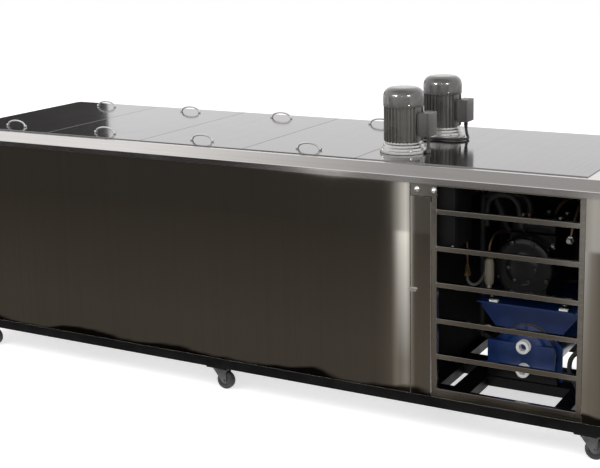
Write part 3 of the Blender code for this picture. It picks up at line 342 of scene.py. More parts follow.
class Finishes:
    """Every finish on the tank."""

    lid = SheetSteel("lid_steel", "stainless", (0.288, 0.275, 0.278), 0.095, Axis.Y, wave_depth=0.0005,
                     wave_scale=1.6, smears=0.03)
    rim = SheetSteel("rim_steel", "stainless", (0.72, 0.695, 0.68), 0.12, wave_depth=0.0004, wave_scale=3.0)
    panel = SheetSteel("panel_steel", "stainless", (0.50, 0.475, 0.43), 0.034, Axis.Z, grain_depth=0.000002,
                       smears=0.006, wave_depth=0.0007, wave_scale=1.3)
    bar = SheetSteel("bar_steel", "stainless", (0.42, 0.395, 0.36), 0.15, grain_depth=0.0, wave_depth=0.0001,
                     smears=0.02)
    inside = SheetSteel("tank_inside_steel", "stainless", (0.55, 0.54, 0.53), 0.26)
    # Darkened, rougher stainless for the bay's floor and bulkhead: the dark tone is painted shade inside the bay.
    dull = SheetSteel("dull_bay_steel", "stainless", (0.17, 0.165, 0.16), 0.42, wave_depth=0.0004)
    button = PolishedMetal("satin_button", "polished_steel", (0.93, 0.93, 0.92), dull=0.02)
    bright = PolishedMetal("bright_steel", "polished_steel", (0.72, 0.71, 0.70), 0.10)
    shaft = PolishedMetal("shaft_steel", "stainless", (0.60, 0.59, 0.58), 0.22)
    zinc = PolishedMetal("zinc_plate", "zinc", (0.50, 0.50, 0.48), 0.34, dull=0.22)
    bolt = PolishedMetal("plated_bolt", "zinc", (0.62, 0.61, 0.58), 0.25, dull=0.15)
    dark_bolt = PolishedMetal("oiled_bolt", "black_paint", (0.07, 0.07, 0.072), 0.22, dull=0.12)
    brass = PolishedMetal("brass_fitting", "zinc", (0.58, 0.42, 0.20), 0.28, dull=0.2)
    copper = PolishedMetal("copper_pipe", "zinc", (0.20, 0.125, 0.085), 0.36, dull=0.25)
    flange = PolishedMetal("flange_metal", "motor_grey", (0.60, 0.59, 0.57), 0.26, dull=0.16)
    castor = PolishedMetal("castor_pressing", "zinc", (0.13, 0.13, 0.13), 0.36, dull=0.25)
    frame = Enamel("frame_black", "black_paint", (0.004, 0.004, 0.004), coat=0.0, dusty=0.006, specular=0.14)
    motor = Enamel("motor_enamel", "motor_grey", (0.078, 0.073, 0.068), 0.22, coat=0.9, dusty=0.03)
    fins = Enamel("motor_fin_enamel", "motor_grey", (0.105, 0.099, 0.090), 0.28, coat=0.6, dusty=0.05)
    box = Enamel("box_enamel", "motor_grey", (0.062, 0.059, 0.055), 0.36, coat=0.3, dusty=0.03)
    blue = Enamel("condenser_blue", "blue_paint", (0.007, 0.028, 0.120), 0.36, coat=0.30, peel=0.0001,
                  dust=(0.04, 0.05, 0.10), dusty=0.15)
    iron = CastPaint("compressor_black", "black_paint", (0.004, 0.004, 0.005), 0.20)
    switch_box = SoftSkin("switch_box_skin", "black_paint", (0.005, 0.005, 0.005), 0.60, dusty=0.01, specular=0.15)
    # Near-black sheets inside the machine bay: painted shade, not a real lining.
    lining = SoftSkin("bay_lining_foam", "foam", (0.005, 0.005, 0.005), 0.90, pebble=0.0006, pebble_scale=240.0,
                      dusty=0.015, specular=0.08)
    rubber = SoftSkin("black_rubber_skin", "black_rubber", (0.016, 0.016, 0.016), 0.55, pebble=0.00004)
    tyre = SoftSkin("wheel_tread", "wheel_rubber", (0.030, 0.030, 0.031), 0.60, dusty=0.3)
    hub = SoftSkin("wheel_hub", "wheel_rubber", (0.055, 0.055, 0.058), 0.45, dusty=0.2)
    white = SoftSkin("white_port", "white_plastic", (0.80, 0.80, 0.78), pebble=0.00003, dusty=0.08)
    cream = SoftSkin("cream_bush", "white_plastic", (0.12, 0.108, 0.082), pebble=0.00003, dusty=0.15)
    foam = SoftSkin("foam_skin", "foam", (0.60, 0.50, 0.28), 0.9, pebble=0.0012, pebble_scale=90.0, dusty=0.05)
    pipe = SoftSkin("pipe_sleeve_skin", "pipe_insulation", (0.010, 0.010, 0.010), 0.50, pebble=0.00025,
                    pebble_scale=220.0, dusty=0.04, specular=0.25)
    sleeve = Sleeve("pipe_sleeve", "pipe_insulation", (0.018, 0.018, 0.018), 0.7)
    braid = Sleeve("steel_braid", "zinc", (0.055, 0.050, 0.043), 0.45, rings=600.0, depth=0.0004)


# ---- Mesh making ---------------------------------------------------------------------------------
def new_object(name: str, data: bpy.types.ID) -> Obj:
    """Links an object that holds a mesh, a lamp or a camera, at the origin."""
    obj = bpy.data.objects.new(name, data)
    bpy.context.scene.collection.objects.link(obj)
    return obj


def from_bmesh(name: str, bm: bmesh.types.BMesh) -> Obj:
    """Turns a bmesh into an object and frees it."""
    mesh = bpy.data.meshes.new(name)
    bm.to_mesh(mesh)
    bm.free()
    return new_object(name, mesh)


def baked(obj: Obj) -> Obj:
    """Replaces an object by a plain mesh of the same name, with its modifiers applied."""
    bpy.context.view_layer.update()
    mesh = bpy.data.meshes.new_from_object(obj.evaluated_get(bpy.context.evaluated_depsgraph_get()))
    name = mesh.name = obj.name
    bpy.data.objects.remove(obj, do_unlink=True)
    return new_object(name, mesh)


def smoothed(obj: Obj, angle: float = 32.0) -> Obj:
    """Shades an object smooth, with edges sharper than the angle left sharp."""
    obj.data.shade_smooth()
    obj.data.set_sharp_from_angle(angle=radians(angle))
    return obj


def flat_faced(obj: Obj, weight: int) -> Obj:
    """Bakes an object with normals that keep its large faces flat."""
    normals = obj.modifiers.new("flat_normals", "WEIGHTED_NORMAL")
    normals.keep_sharp, normals.weight = True, weight
    return baked(obj)


def softened(node: str, name: str, width: float, segments: int = 2) -> Obj:
    """Copies a CAD piece with its edges rounded.

    Args:
        node: The CAD piece.
        name: The copy's name.
        width: How far each edge is rounded back.
        segments: Faces across each rounded edge.

    Returns:
        The copy.
    """
    bm = bmesh.new()
    bm.from_mesh(bpy.data.objects[node].data)
    bmesh.ops.remove_doubles(bm, verts=bm.verts, dist=0.00001)
    bmesh.ops.dissolve_limit(bm, angle_limit=radians(0.5), verts=bm.verts, edges=bm.edges)
    obj = from_bmesh(name, bm)
    bevel = obj.modifiers.new("rounding", "BEVEL")
    bevel.width, bevel.segments, bevel.limit_method = width, segments, "ANGLE"
    bevel.angle_limit, bevel.use_clamp_overlap = radians(33), True
    obj.data.shade_smooth()
    return flat_faced(obj, 80)


def block(name: str, low: Sequence[float], high: Sequence[float], radius: float = 0.002, segments: int = 3) -> Obj:
    """A box between two corners with rounded edges."""
    bm = bmesh.new()
    bmesh.ops.create_cube(bm, size=1.0)
    size = [b - a for a, b in zip(low, high)]
    bmesh.ops.scale(bm, vec=size, verts=bm.verts)
    bmesh.ops.translate(bm, vec=[(a + b) / 2 for a, b in zip(low, high)], verts=bm.verts)
    bmesh.ops.bevel(bm, geom=bm.edges, offset=min(radius, min(size) * 0.49), segments=segments, profile=0.5,
                    affect="EDGES")
    return smoothed(from_bmesh(name, bm), 40)


def bridge(bm: bmesh.types.BMesh, rings: list[list], closed: bool = False) -> list:
    """Faces from each ring of corners to the next, where a ring of one corner is a tip."""
    faces = []
    for a, b in zip(rings, rings[1:] + rings[:1] if closed else rings[1:]):
        count = max(len(a), len(b))
        for i in range(count):
            j = (i + 1) % count
            corners = list(dict.fromkeys((a[i % len(a)], a[j % len(a)], b[j % len(b)], b[i % len(b)])))
            if len(corners) > 2:
                faces.append(bm.faces.new(corners))
    return faces


def lathe(name: str, outline: Outline, origin: Sequence[float], axis: Axis = Axis.Z, steps: int = 64,
          closed: bool = False, angle: float = 32.0) -> Obj:
    """A turned piece.

    Args:
        name: The piece's name.
        outline: Radius and height points, from the top of the outer side down.
        origin: Where height zero lies on the axis.
        axis: The direction of height.
        steps: Faces round the axis.
        closed: Whether the last point joins the first, as in a ring.
        angle: Edges sharper than this stay sharp.

    Returns:
        The closed piece.
    """
    bm = bmesh.new()
    rings = [[bm.verts.new((radius * c, radius * s, height)) for c, s in (circle(steps) if radius > 1e-6 else [(0, 0)])]
             for radius, height in outline]
    bridge(bm, rings, closed)
    if not closed:
        for ring in (rings[0], rings[-1]):
            if len(ring) > 1:
                bm.faces.new(ring)
    bmesh.ops.recalc_face_normals(bm, faces=bm.faces)
    turn = UP.rotation_difference(Vector(axis.value)).to_matrix().to_4x4()
    bm.transform(Matrix.Translation(Vector(origin)) @ turn)
    return smoothed(from_bmesh(name, bm), angle)


def eased(points: Sequence[Place], step: float) -> list[Vector]:
    """Evenly spaced points, about one step apart, on a smooth curve through the given ones."""
    knots = [Vector(p) for p in points]
    knots = [2 * knots[0] - knots[1], *knots, 2 * knots[-1] - knots[-2]]
    fine: list[Vector] = []
    for a, b, c, d in zip(knots, knots[1:], knots[2:], knots[3:]):
        for t in (i / 24 for i in range(24)):
            square, cube = 2 * a - 5 * b + 4 * c - d, 3 * b - a - 3 * c + d
            fine.append(0.5 * (2 * b + (c - a) * t + square * t ** 2 + cube * t ** 3))
    fine.append(knots[-2])
    lengths = [0.0]
    for a, b in zip(fine, fine[1:]):
        lengths.append(lengths[-1] + (b - a).length)
    count = max(3, round(lengths[-1] / step))
    route, place = [], 0
    for i in range(count + 1):
        wanted = lengths[-1] * i / count
        while place < len(fine) - 2 and lengths[place + 1] < wanted:
            place += 1
        share = (wanted - lengths[place]) / max(lengths[place + 1] - lengths[place], 1e-9)
        route.append(fine[place].lerp(fine[place + 1], min(1.0, share)))
    return route


def path_length(path: Sequence[Vector]) -> float:
    """The length of a line through points."""
    return sum((b - a).length for a, b in zip(path, path[1:]))


def hose(name: str, path: Sequence[Vector], radius: float, sides: int = 14) -> Obj:
    """A closed round tube along a path, with a UV map whose U is the distance along it."""
    bm = bmesh.new()
    uv = bm.loops.layers.uv.new("along")
    last = len(path) - 1
    tangents = [(path[min(i + 1, last)] - path[max(i - 1, 0)]).normalized() for i in range(len(path))]
    side = tangents[0].orthogonal().normalized()
    rings, travelled = [], [0.0]
    for i, (point, tangent) in enumerate(zip(path, tangents)):
        if i:
            side = tangents[i - 1].rotation_difference(tangent) @ side
            travelled.append(travelled[-1] + (point - path[i - 1]).length)
        other = tangent.cross(side)
        rings.append([bm.verts.new(point + radius * (side * c + other * s)) for c, s in circle(sides)])
    for index, face in enumerate(bridge(bm, rings)):
        i, k = divmod(index, sides)
        face.smooth = True
        for loop, along, around in zip(face.loops, (i, i, i + 1, i + 1), (k, k + 1, k + 1, k)):
            loop[uv].uv = (travelled[along], around / sides)
    bm.faces.new(list(reversed(rings[0])))
    bm.faces.new(rings[-1])
    return from_bmesh(name, bm)


def merged(name: str, pieces: Iterable[Obj]) -> Obj:
    """Puts several meshes into one object, each still a closed body of its own."""
    bm = bmesh.new()
    for piece in list(pieces):
        bm.from_mesh(piece.data)
        bpy.data.objects.remove(piece, do_unlink=True)
    return smoothed(from_bmesh(name, bm), 34)


def bead(length: float, width: float, height: float) -> Obj:
    """A short weld bead along X, with ripples, rounded at both ends."""
    bm = bmesh.new()
    bmesh.ops.create_uvsphere(bm, u_segments=10, v_segments=7, radius=0.5)
    bmesh.ops.rotate(bm, cent=(0, 0, 0), matrix=Matrix.Rotation(pi / 2, 3, "Y"), verts=bm.verts)
    for vert in bm.verts:
        swell = 1.0 + 0.12 * sin(9.0 * vert.co.x * pi)
        vert.co = Vector((vert.co.x * length, vert.co.y * width * swell, vert.co.z * height * swell))
    return from_bmesh("bead", bm)


def facing(direction: Axis, *places: Sequence[float]) -> Spots:
    """Places that all face one way."""
    return [(Vector(place), Vector(direction.value)) for place in places]


def circle_places(radius: float, count: int, centre: Sequence[float], axis: Axis, start: float = 0.0) -> Spots:
    """Places evenly spaced on a circle, each with the direction that it faces."""
    turn, ring = UP.rotation_difference(Vector(axis.value)), circle(count, start)
    return facing(axis, *[Vector(centre) + turn @ Vector((radius * c, radius * s, 0.0)) for c, s in ring])


# ---- Geometry Nodes ------------------------------------------------------------------------------
class PlaceTree(Wiring):
    """A Geometry Nodes tree with named inputs, run once on a mesh of places."""

    def __init__(self, name: str, **inputs: str) -> None:
        """Makes the tree's sockets from the type of each named input."""
        super().__init__(bpy.data.node_groups.new(name, "GeometryNodeTree"))
        for label, kind in {"Geometry": "Geometry", **inputs, "Material": "Material"}.items():
            self.tree.interface.new_socket(label, in_out="INPUT", socket_type=f"NodeSocket{kind}")
        self.tree.interface.new_socket("Geometry", in_out="OUTPUT", socket_type="NodeSocketGeometry")
        self.given = self.tree.nodes.new("NodeGroupInput").outputs

    def repeat(self, item: Socket) -> None:
        """Ends the tree: the item at each place, turned by the place's own turn, realized and painted."""
        turn = self.add("GeometryNodeInputNamedAttribute", {"Name": "turn"}, data_type="QUATERNION")
        spread = self.add("GeometryNodeInstanceOnPoints", {
            "Points": self.given["Geometry"], "Instance": item, "Rotation": turn.outputs["Attribute"]})
        real = self.add("GeometryNodeRealizeInstances", {"Geometry": spread.outputs["Instances"]})
        paint = self.add("GeometryNodeSetMaterial", {
            "Geometry": real.outputs["Geometry"], "Material": self.given["Material"]})
        self.add("NodeGroupOutput", {"Geometry": paint.outputs["Geometry"]})

    def run(self, name: str, places: Turns, **values: object) -> Obj:
        """Runs the tree on a set of places.

        Args:
            name: The new piece's name.
            places: Each place and its turn.
            **values: The tree's inputs.

        Returns:
            A plain mesh.
        """
        mesh = bpy.data.meshes.new(name)
        mesh.from_pydata([tuple(place) for place, _ in places], [], [])
        turns = mesh.attributes.new("turn", "QUATERNION", "POINT")
        for entry, (_, turn) in zip(turns.data, places):
            entry.value = tuple(turn)
        obj = new_object(name, mesh)
        modifier = obj.modifiers.new("repeat", "NODES")
        modifier.node_group = self.tree
        for item in self.tree.interface.items_tree:
            if item.in_out == "INPUT" and item.name in values:
                modifier[item.identifier] = values[item.name]
        piece = baked(obj)
        if "turn" in piece.data.attributes:
            piece.data.attributes.remove(piece.data.attributes["turn"])
        return piece


@dataclass(frozen=True)
class Head:
    """A fastener's head: a washer, a head with a number of sides, and a chamfered crown."""

    radius: float
    height: float
    sides: int = 6
    washer: float = 1.45


class Heads:
    """The fasteners on the tank."""

    m6 = Head(0.0058, 0.0042)
    m8 = Head(0.0075, 0.0055)
    m10 = Head(0.0105, 0.0095, washer=1.55)
    pan = Head(0.0034, 0.0018, 14, 1.05)
    cover_pan = Head(0.0026, 0.0015, 14, 1.1)
    box_pan = Head(0.0026, 0.0010, 14, 1.0)


class FastenerTree(PlaceTree):
    """Bolt and screw heads at places, each with its washer."""

    def __init__(self) -> None:
        """Builds a washer, a prism and a cone that is cut flat, stacked along Z."""
        super().__init__("fastener_heads", Radius="Float", Height="Float", Sides="Int", Washer="Float")
        radius, height, sides, washer = (self.given[label] for label in ("Radius", "Height", "Sides", "Washer"))
        disc, body, crown = (self.math(height, share, "MULTIPLY") for share in (0.24, 0.62, 0.18))
        washer, top = self.math(radius, washer, "MULTIPLY"), self.math(radius, 0.78, "MULTIPLY")
        stack = self.add("GeometryNodeJoinGeometry")
        for count, low, high, depth, start in ((20, washer, washer, disc, 0.0), (sides, radius, radius, body, disc),
                                               (sides, radius, top, crown, self.math(disc, body))):
            shape = self.add("GeometryNodeMeshCone", {
                "Vertices": count, "Radius Top": high, "Radius Bottom": low, "Depth": depth})
            lift = self.add("ShaderNodeCombineXYZ", {"Z": start}).outputs["Vector"]
            moved = self.add("GeometryNodeTransform", {"Geometry": shape.outputs["Mesh"], "Translation": lift})
            self.feed(stack.inputs["Geometry"], moved.outputs["Geometry"])
        self.repeat(stack.outputs["Geometry"])


class RepeatTree(PlaceTree):
    """Copies of one made item, such as a fin, a knuckle or a weld bead, at places."""

    def __init__(self) -> None:
        """Reads the item from an object."""
        super().__init__("repeated_item", Item="Object")
        self.repeat(self.add("GeometryNodeObjectInfo", {"Object": self.given["Item"]}).outputs["Geometry"])


def polished_pieces() -> bpy.types.Collection:
    """The collection of glossy pieces that catch the small lamps."""
    name = "polished_pieces"
    return bpy.data.collections.get(name) or bpy.data.collections.new(name)


class Workshop:
    """The shared tools of all sub-assemblies: node trees, and the calls that hand a piece over."""

    def __init__(self) -> None:
        """Builds both trees once."""
        self.fastener, self.repeater = FastenerTree(), RepeatTree()

    def hand_over(self, piece: Obj, finish: Finish, body: str = CHASSIS, nodes: Sequence[str] = ()) -> Obj:
        """Paints a piece, puts it on its body and reports it.

        Args:
            piece: The finished mesh.
            finish: Its finish.
            body: The body that it rides on.
            nodes: CAD pieces that it stands for.

        Returns:
            The piece.
        """
        piece.data.materials.clear()
        piece.data.materials.append(finish.make())
        for polygon in piece.data.polygons:
            polygon.material_index = 0
        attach(piece, body)
        if nodes:
            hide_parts(*nodes)
        if finish in (Finishes.motor, Finishes.button, Finishes.bolt, Finishes.dark_bolt):
            polished_pieces().objects.link(piece)
        log.info("%s: %d faces, on %s", piece.name, len(piece.data.polygons), body)
        return piece

    def dress(self, node: str, finish: Finish) -> None:
        """Gives a CAD piece its finish."""
        obj = bpy.data.objects[node]
        if not obj.material_slots:
            obj.data.materials.append(finish.make())
        for entry in obj.material_slots:
            entry.material = finish.make()
        log.info("%s: CAD mesh in %s", node, finish.name)

    def soften(self, node: str, finish: Finish, width: float, body: str = CHASSIS, segments: int = 2) -> None:
        """Replaces a CAD piece by a copy with rounded edges."""
        self.hand_over(softened(node, f"{node}_sheet", width, segments), finish, body, (node,))

    def turned(self, name: str, outline: Outline, origin: Sequence[float], finish: Finish, axis: Axis = Axis.Z,
               steps: int = 64, closed: bool = False, angle: float = 32.0, body: str = CHASSIS,
               nodes: Sequence[str] = ()) -> None:
        """Turns a piece and hands it over."""
        self.hand_over(lathe(name, outline, origin, axis, steps, closed, angle), finish, body, nodes)

    def tube(self, name: str, points: Sequence[Place], step: float, radius: float, finish: Finish,
             sides: int = 14) -> None:
        """Bends a tube through points and hands it over."""
        self.hand_over(hose(name, eased(points, step), radius, sides), finish)

    def repeat(self, name: str, item: Obj, places: Turns, finish: Finish, body: str = CHASSIS) -> None:
        """Repeats an item at places, each with its turn, and removes the first one."""
        piece = self.repeater.run(name, places, Item=item, Material=finish.make())
        bpy.data.objects.remove(item, do_unlink=True)
        self.hand_over(smoothed(piece, 34), finish, body)

    def bolts(self, name: str, head: Head, spots: Spots, finish: Finish = Finishes.bolt) -> None:
        """Puts fastener heads at places that each face a direction."""
        turned = [(place, UP.rotation_difference(direction)) for place, direction in spots]
        piece = self.fastener.run(name, turned, Radius=head.radius, Height=head.height, Sides=head.sides,
                                  Washer=head.washer, Material=finish.make())
        self.hand_over(smoothed(piece, 30), finish)


# ---- Stage ---------------------------------------------------------------------------------------
Glow = Callable[[ShaderSheet], Socket]


@dataclass
class Studio:
    """Camera, floor, lamps, and the dark and pale cards that polished steel needs around it."""

    place: Place = (2.523, -4.448, 1.855)
    lens: float = 74.2
    lift: float = -0.11
    turn: float = 29.36
    dip: float = 11.10
    roll: float = -1.17
    world: float = 0.74
    floor_size: float = 30.0
    panel_y: float = -0.4625

    def camera(self) -> None:
        """Sets up the camera."""
        data = bpy.data.cameras.new("camera")
        data.lens, data.sensor_width, data.shift_y, data.clip_end = self.lens, 36.0, self.lift, 80.0
        yaw, pitch, roll = radians(self.turn), radians(self.dip), radians(self.roll)
        forward = Vector((-sin(yaw) * cos(pitch), cos(yaw) * cos(pitch), -sin(pitch)))
        right = Vector((cos(yaw), sin(yaw), 0.0))
        up = right.cross(forward)
        side = right * cos(roll) + up * sin(roll)
        over = up * cos(roll) - right * sin(roll)
        camera = new_object("camera", data)
        camera.matrix_world = Matrix.Translation(self.place) @ Matrix((side, over, -forward)).transposed().to_4x4()
        bpy.context.scene.camera = camera

    def surroundings(self) -> None:
        """A white world to the camera and to metal, and a plain level of light on everything else."""
        world = bpy.data.worlds.new("studio")
        bpy.context.scene.world = world
        world.use_nodes = True
        sky = Wiring(world.node_tree)
        sky.tree.nodes.clear()
        rays = sky.add("ShaderNodeLightPath").outputs
        seen = sky.math(rays["Is Camera Ray"], rays["Is Glossy Ray"], "MAXIMUM")
        also = sky.math(seen, rays["Is Transmission Ray"], "MAXIMUM")
        plain, white = (sky.add("ShaderNodeBackground", {"Color": WHITE, "Strength": level}).outputs[0]
                        for level in (self.world, 1.0))
        mix = sky.add("ShaderNodeMixShader", {0: also, 1: plain, 2: white}).outputs[0]
        sky.add("ShaderNodeOutputWorld", {"Surface": mix})

    def floor(self) -> None:
        """A white floor that keeps the tank's shadow."""
        bm = bmesh.new()
        bmesh.ops.create_grid(bm, x_segments=1, y_segments=1, size=self.floor_size / 2)
        bmesh.ops.translate(bm, vec=(0, 4.0, -0.0002), verts=bm.verts)
        floor = from_bmesh("studio_floor", bm)
        sheet = ShaderSheet("floor_white")
        rays = sheet.add("ShaderNodeLightPath").outputs
        seen = sheet.math(rays["Is Camera Ray"], rays["Is Glossy Ray"], "MAXIMUM")
        sheet.principled(Base_Color=(0.93, 0.93, 0.93, 1.0), Roughness=0.9, Specular_IOR_Level=0.0,
                         Emission_Color=WHITE, Emission_Strength=sheet.math(seen, 0.60, "MULTIPLY"))
        floor.data.materials.append(sheet.material)

    def lamp(self, name: str, place: Place, aim: Place, size: float, power: float, glossy_only: bool = False) -> None:
        """A square soft lamp, or a small one that shows only in reflections."""
        data = bpy.data.lights.new(name, "AREA")
        data.shape, data.size, data.energy = "SQUARE", size, power
        lamp = new_object(name, data)
        look = (Vector(aim) - Vector(place)).to_track_quat("-Z", "Y")
        lamp.matrix_world = Matrix.Translation(place) @ look.to_matrix().to_4x4()
        lamp.visible_camera = False
        if glossy_only:
            lamp.visible_diffuse = lamp.visible_transmission = False
            lamp.light_linking.receiver_collection = polished_pieces()
        else:
            lamp.visible_glossy = False

    def card(self, name: str, sides: tuple[float, float], first: tuple[float, float], last: tuple[float, float],
             level: Glow, tint: Colour = (1.0, 0.985, 0.96)) -> None:
        """A card that only reflections see, with its own even or patterned glow.

        Args:
            name: The card's name.
            sides: X of its left and right side.
            first: Y and Z of one long edge.
            last: Y and Z of the other.
            level: Wires the glow on the card's paint.
            tint: The colour of its dim parts.
        """
        (left, right), mesh = sides, bpy.data.meshes.new(name)
        mesh.from_pydata([(left, *first), (right, *first), (right, *last), (left, *last)], [], [(0, 1, 2, 3)])
        card = new_object(name, mesh)
        sheet = ShaderSheet(f"{name}_paint")
        glow = level(sheet)
        colour = sheet.blend(sheet.spread(glow, 0.0, 1.0, 0.15, 0.50), tint, (1.0, 0.99, 0.97))
        sheet.principled(Base_Color=(0.0, 0.0, 0.0, 1.0), Roughness=1.0, Specular_IOR_Level=0.0,
                         Emission_Color=colour, Emission_Strength=glow)
        card.data.materials.append(sheet.material)
        card.visible_camera = card.visible_diffuse = card.visible_shadow = card.visible_transmission = False

    def across(self, stops: Outline, start: float = -4.0, end: float = 4.0) -> Glow:
        """A glow that changes from left to right along the front panels.

        The cards lie at different distances, so each point of a card is first traced back to the X of the panel that
        mirrors it to the front.

        Args:
            stops: X places on the panel and their levels.
            start: X at the ramp's start.
            end: X at its end.

        Returns:
            A function that wires the glow on a card's paint.
        """
        def wire(sheet: ShaderSheet) -> Socket:
            """Puts the stops on a colour ramp."""
            reach = self.panel_y - self.place[1]
            away = sheet.math(sheet.math(sheet.part("Y"), -1.0, "MULTIPLY"), self.panel_y)
            moved = sheet.math(sheet.part("X"), sheet.math(away, self.place[0] / reach, "MULTIPLY"))
            on_panel = sheet.math(moved, sheet.math(sheet.math(away, 1.0 / reach, "MULTIPLY"), 1.0), "DIVIDE")
            ramp = sheet.add("ShaderNodeValToRGB", {"Fac": sheet.spread(on_panel, 0.0, 1.0, start, end)})
            entries = ramp.color_ramp.elements
            while len(entries) < len(stops):
                entries.new(1.0)
            for entry, (x, level) in zip(entries, stops):
                entry.position, entry.color = (x - start) / (end - start), (level, level, level, 1.0)
            return ramp.outputs["Color"]
        return wire

    @staticmethod
    def near_edge(wire: Glow) -> Glow:
        """A glow that is dark in an uneven strip beside the tank and changes with the distance from it: a painted
        reflection of a dark, wavy band along the foot of the front panel.
        """
        def darker(sheet: ShaderSheet) -> Socket:
            """Multiplies the glow by a soft, wavy edge over Object Y."""
            y, glow = sheet.part("Y"), wire(sheet)
            wavy = sheet.math(y, sheet.spread(sheet.noise(2.2, 3.0), -0.045, 0.045))
            edge = sheet.spread(wavy, 1.0, 0.05, -0.845, -0.815)
            strip = sheet.spread(glow, 0.0, 1.0, 0.15, 0.45)
            dark, bright = sheet.spread(y, 0.70, 1.15, -3.2, -1.2), sheet.spread(y, 2.70, 0.60, -3.2, -1.1)
            graded = sheet.math(dark, sheet.math(strip, sheet.math(bright, dark, "SUBTRACT"), "MULTIPLY"))
            return sheet.math(glow, sheet.math(edge, graded, "MULTIPLY"), "MULTIPLY")
        return darker

    def build(self) -> None:
        """Sets up the whole stage."""
        bpy.context.scene.view_settings.view_transform = "Standard"
        self.surroundings()
        self.floor()
        self.lamp("key_lamp", (-2.2, -3.6, 4.2), (0.2, 0, 0.6), 2.6, 62.0)
        self.lamp("fill_lamp", (4.2, -2.6, 3.2), (0.6, 0, 0.6), 2.4, 34.0)
        self.lamp("front_lamp", (2.1, -4.5, 1.1), (1.0, -0.1, 0.4), 0.5, 48.0)
        self.lamp("back_lamp", (0.5, 4.6, 3.6), (0, 0, 0.6), 3.0, 40.0)
        for name, place, size, power in (("left", (-1.13, -4.60, 2.90), 0.75, 190.0),
                                         ("next", (-1.95, -4.30, 2.90), 0.40, 45.0),
                                         ("right", (4.40, -2.90, 3.00), 0.65, 120.0),
                                         ("front", (1.90, -4.60, 2.60), 0.14, 5.0)):
            self.lamp(f"glint_{name}", place, (0.61, 0.0, 1.2), size, power, True)
        self.cards()

    def cards(self) -> None:
        """Stands the cards round the tank: what the panels, the lids and the fan covers mirror."""
        # Levels by X on the front panels are painted reflections: the bright strip beside the machine bay, lighter ends
        # of the grille bars and a bright stretch of the lip.
        low = ((-4.0, 0.088), (-0.9, 0.074), (0.40, 0.078), (0.60, 0.082), (0.655, 0.11), (0.675, 0.30), (0.70, 0.55),
               (0.742, 0.75), (0.747, 0.12), (0.835, 0.11), (0.848, 0.32), (0.90, 0.13), (1.32, 0.13), (1.352, 0.36),
               (1.36, 0.14), (1.385, 0.50), (1.41, 0.20), (1.56, 0.16))
        high = ((-4.0, 0.065), (-0.9, 0.052), (0.1, 0.050), (0.50, 0.055), (0.63, 0.058), (0.667, 0.12), (0.69, 0.55),
                (0.71, 1.15), (0.742, 1.35), (0.747, 0.12), (0.84, 0.11), (1.36, 0.13), (1.385, 0.75), (1.45, 0.60),
                (1.56, 0.5), (4.0, 0.3))
        lip = ((-4.0, 0.034), (-0.1, 0.034), (0.15, 0.09), (0.28, 0.28), (0.42, 1.15), (0.50, 0.42), (0.62, 0.22),
               (4.0, 0.22))
        ends, far_y, split, mat = (-6, 6), -3.2, 0.315, 0.004
        self.card("front_card", ends, (far_y, split), (far_y, 0.0), self.across(high), (1.0, 0.94, 0.84))
        self.card("lip_card", ends, (far_y, 0.9), (far_y, split), self.across(lip))
        self.card("front_mat", ends, (far_y, mat), (-0.60, mat), self.near_edge(self.across(low)), (1.0, 0.88, 0.74))
        for name, sides, near, far in (("back_mat", (-9, 9), 0.62, 12.0), ("right_mat", (1.62, 9), -0.60, 0.62),
                                       ("left_mat", (-9, -1.62), -0.60, 0.62)):
            self.card(name, sides, (near, mat), (far, mat),
                      lambda sheet: sheet.spread(sheet.noise(0.9, 2.0), 0.26, 0.62))
        self.card("far_left_card", (-6.5, -3.5), (3.2, 0.9), (3.2, 2.6),
                  lambda sheet: sheet.spread(sheet.part("X"), 0.02, 0.075, -6.5, -3.5))
        self.card("ceiling_card", (-2.4, 3.4), (-2.6, 3.6), (0.2, 3.6),
                  lambda sheet: sheet.spread(sheet.part("X"), 1.0, 0.40, -2.4, -0.5))


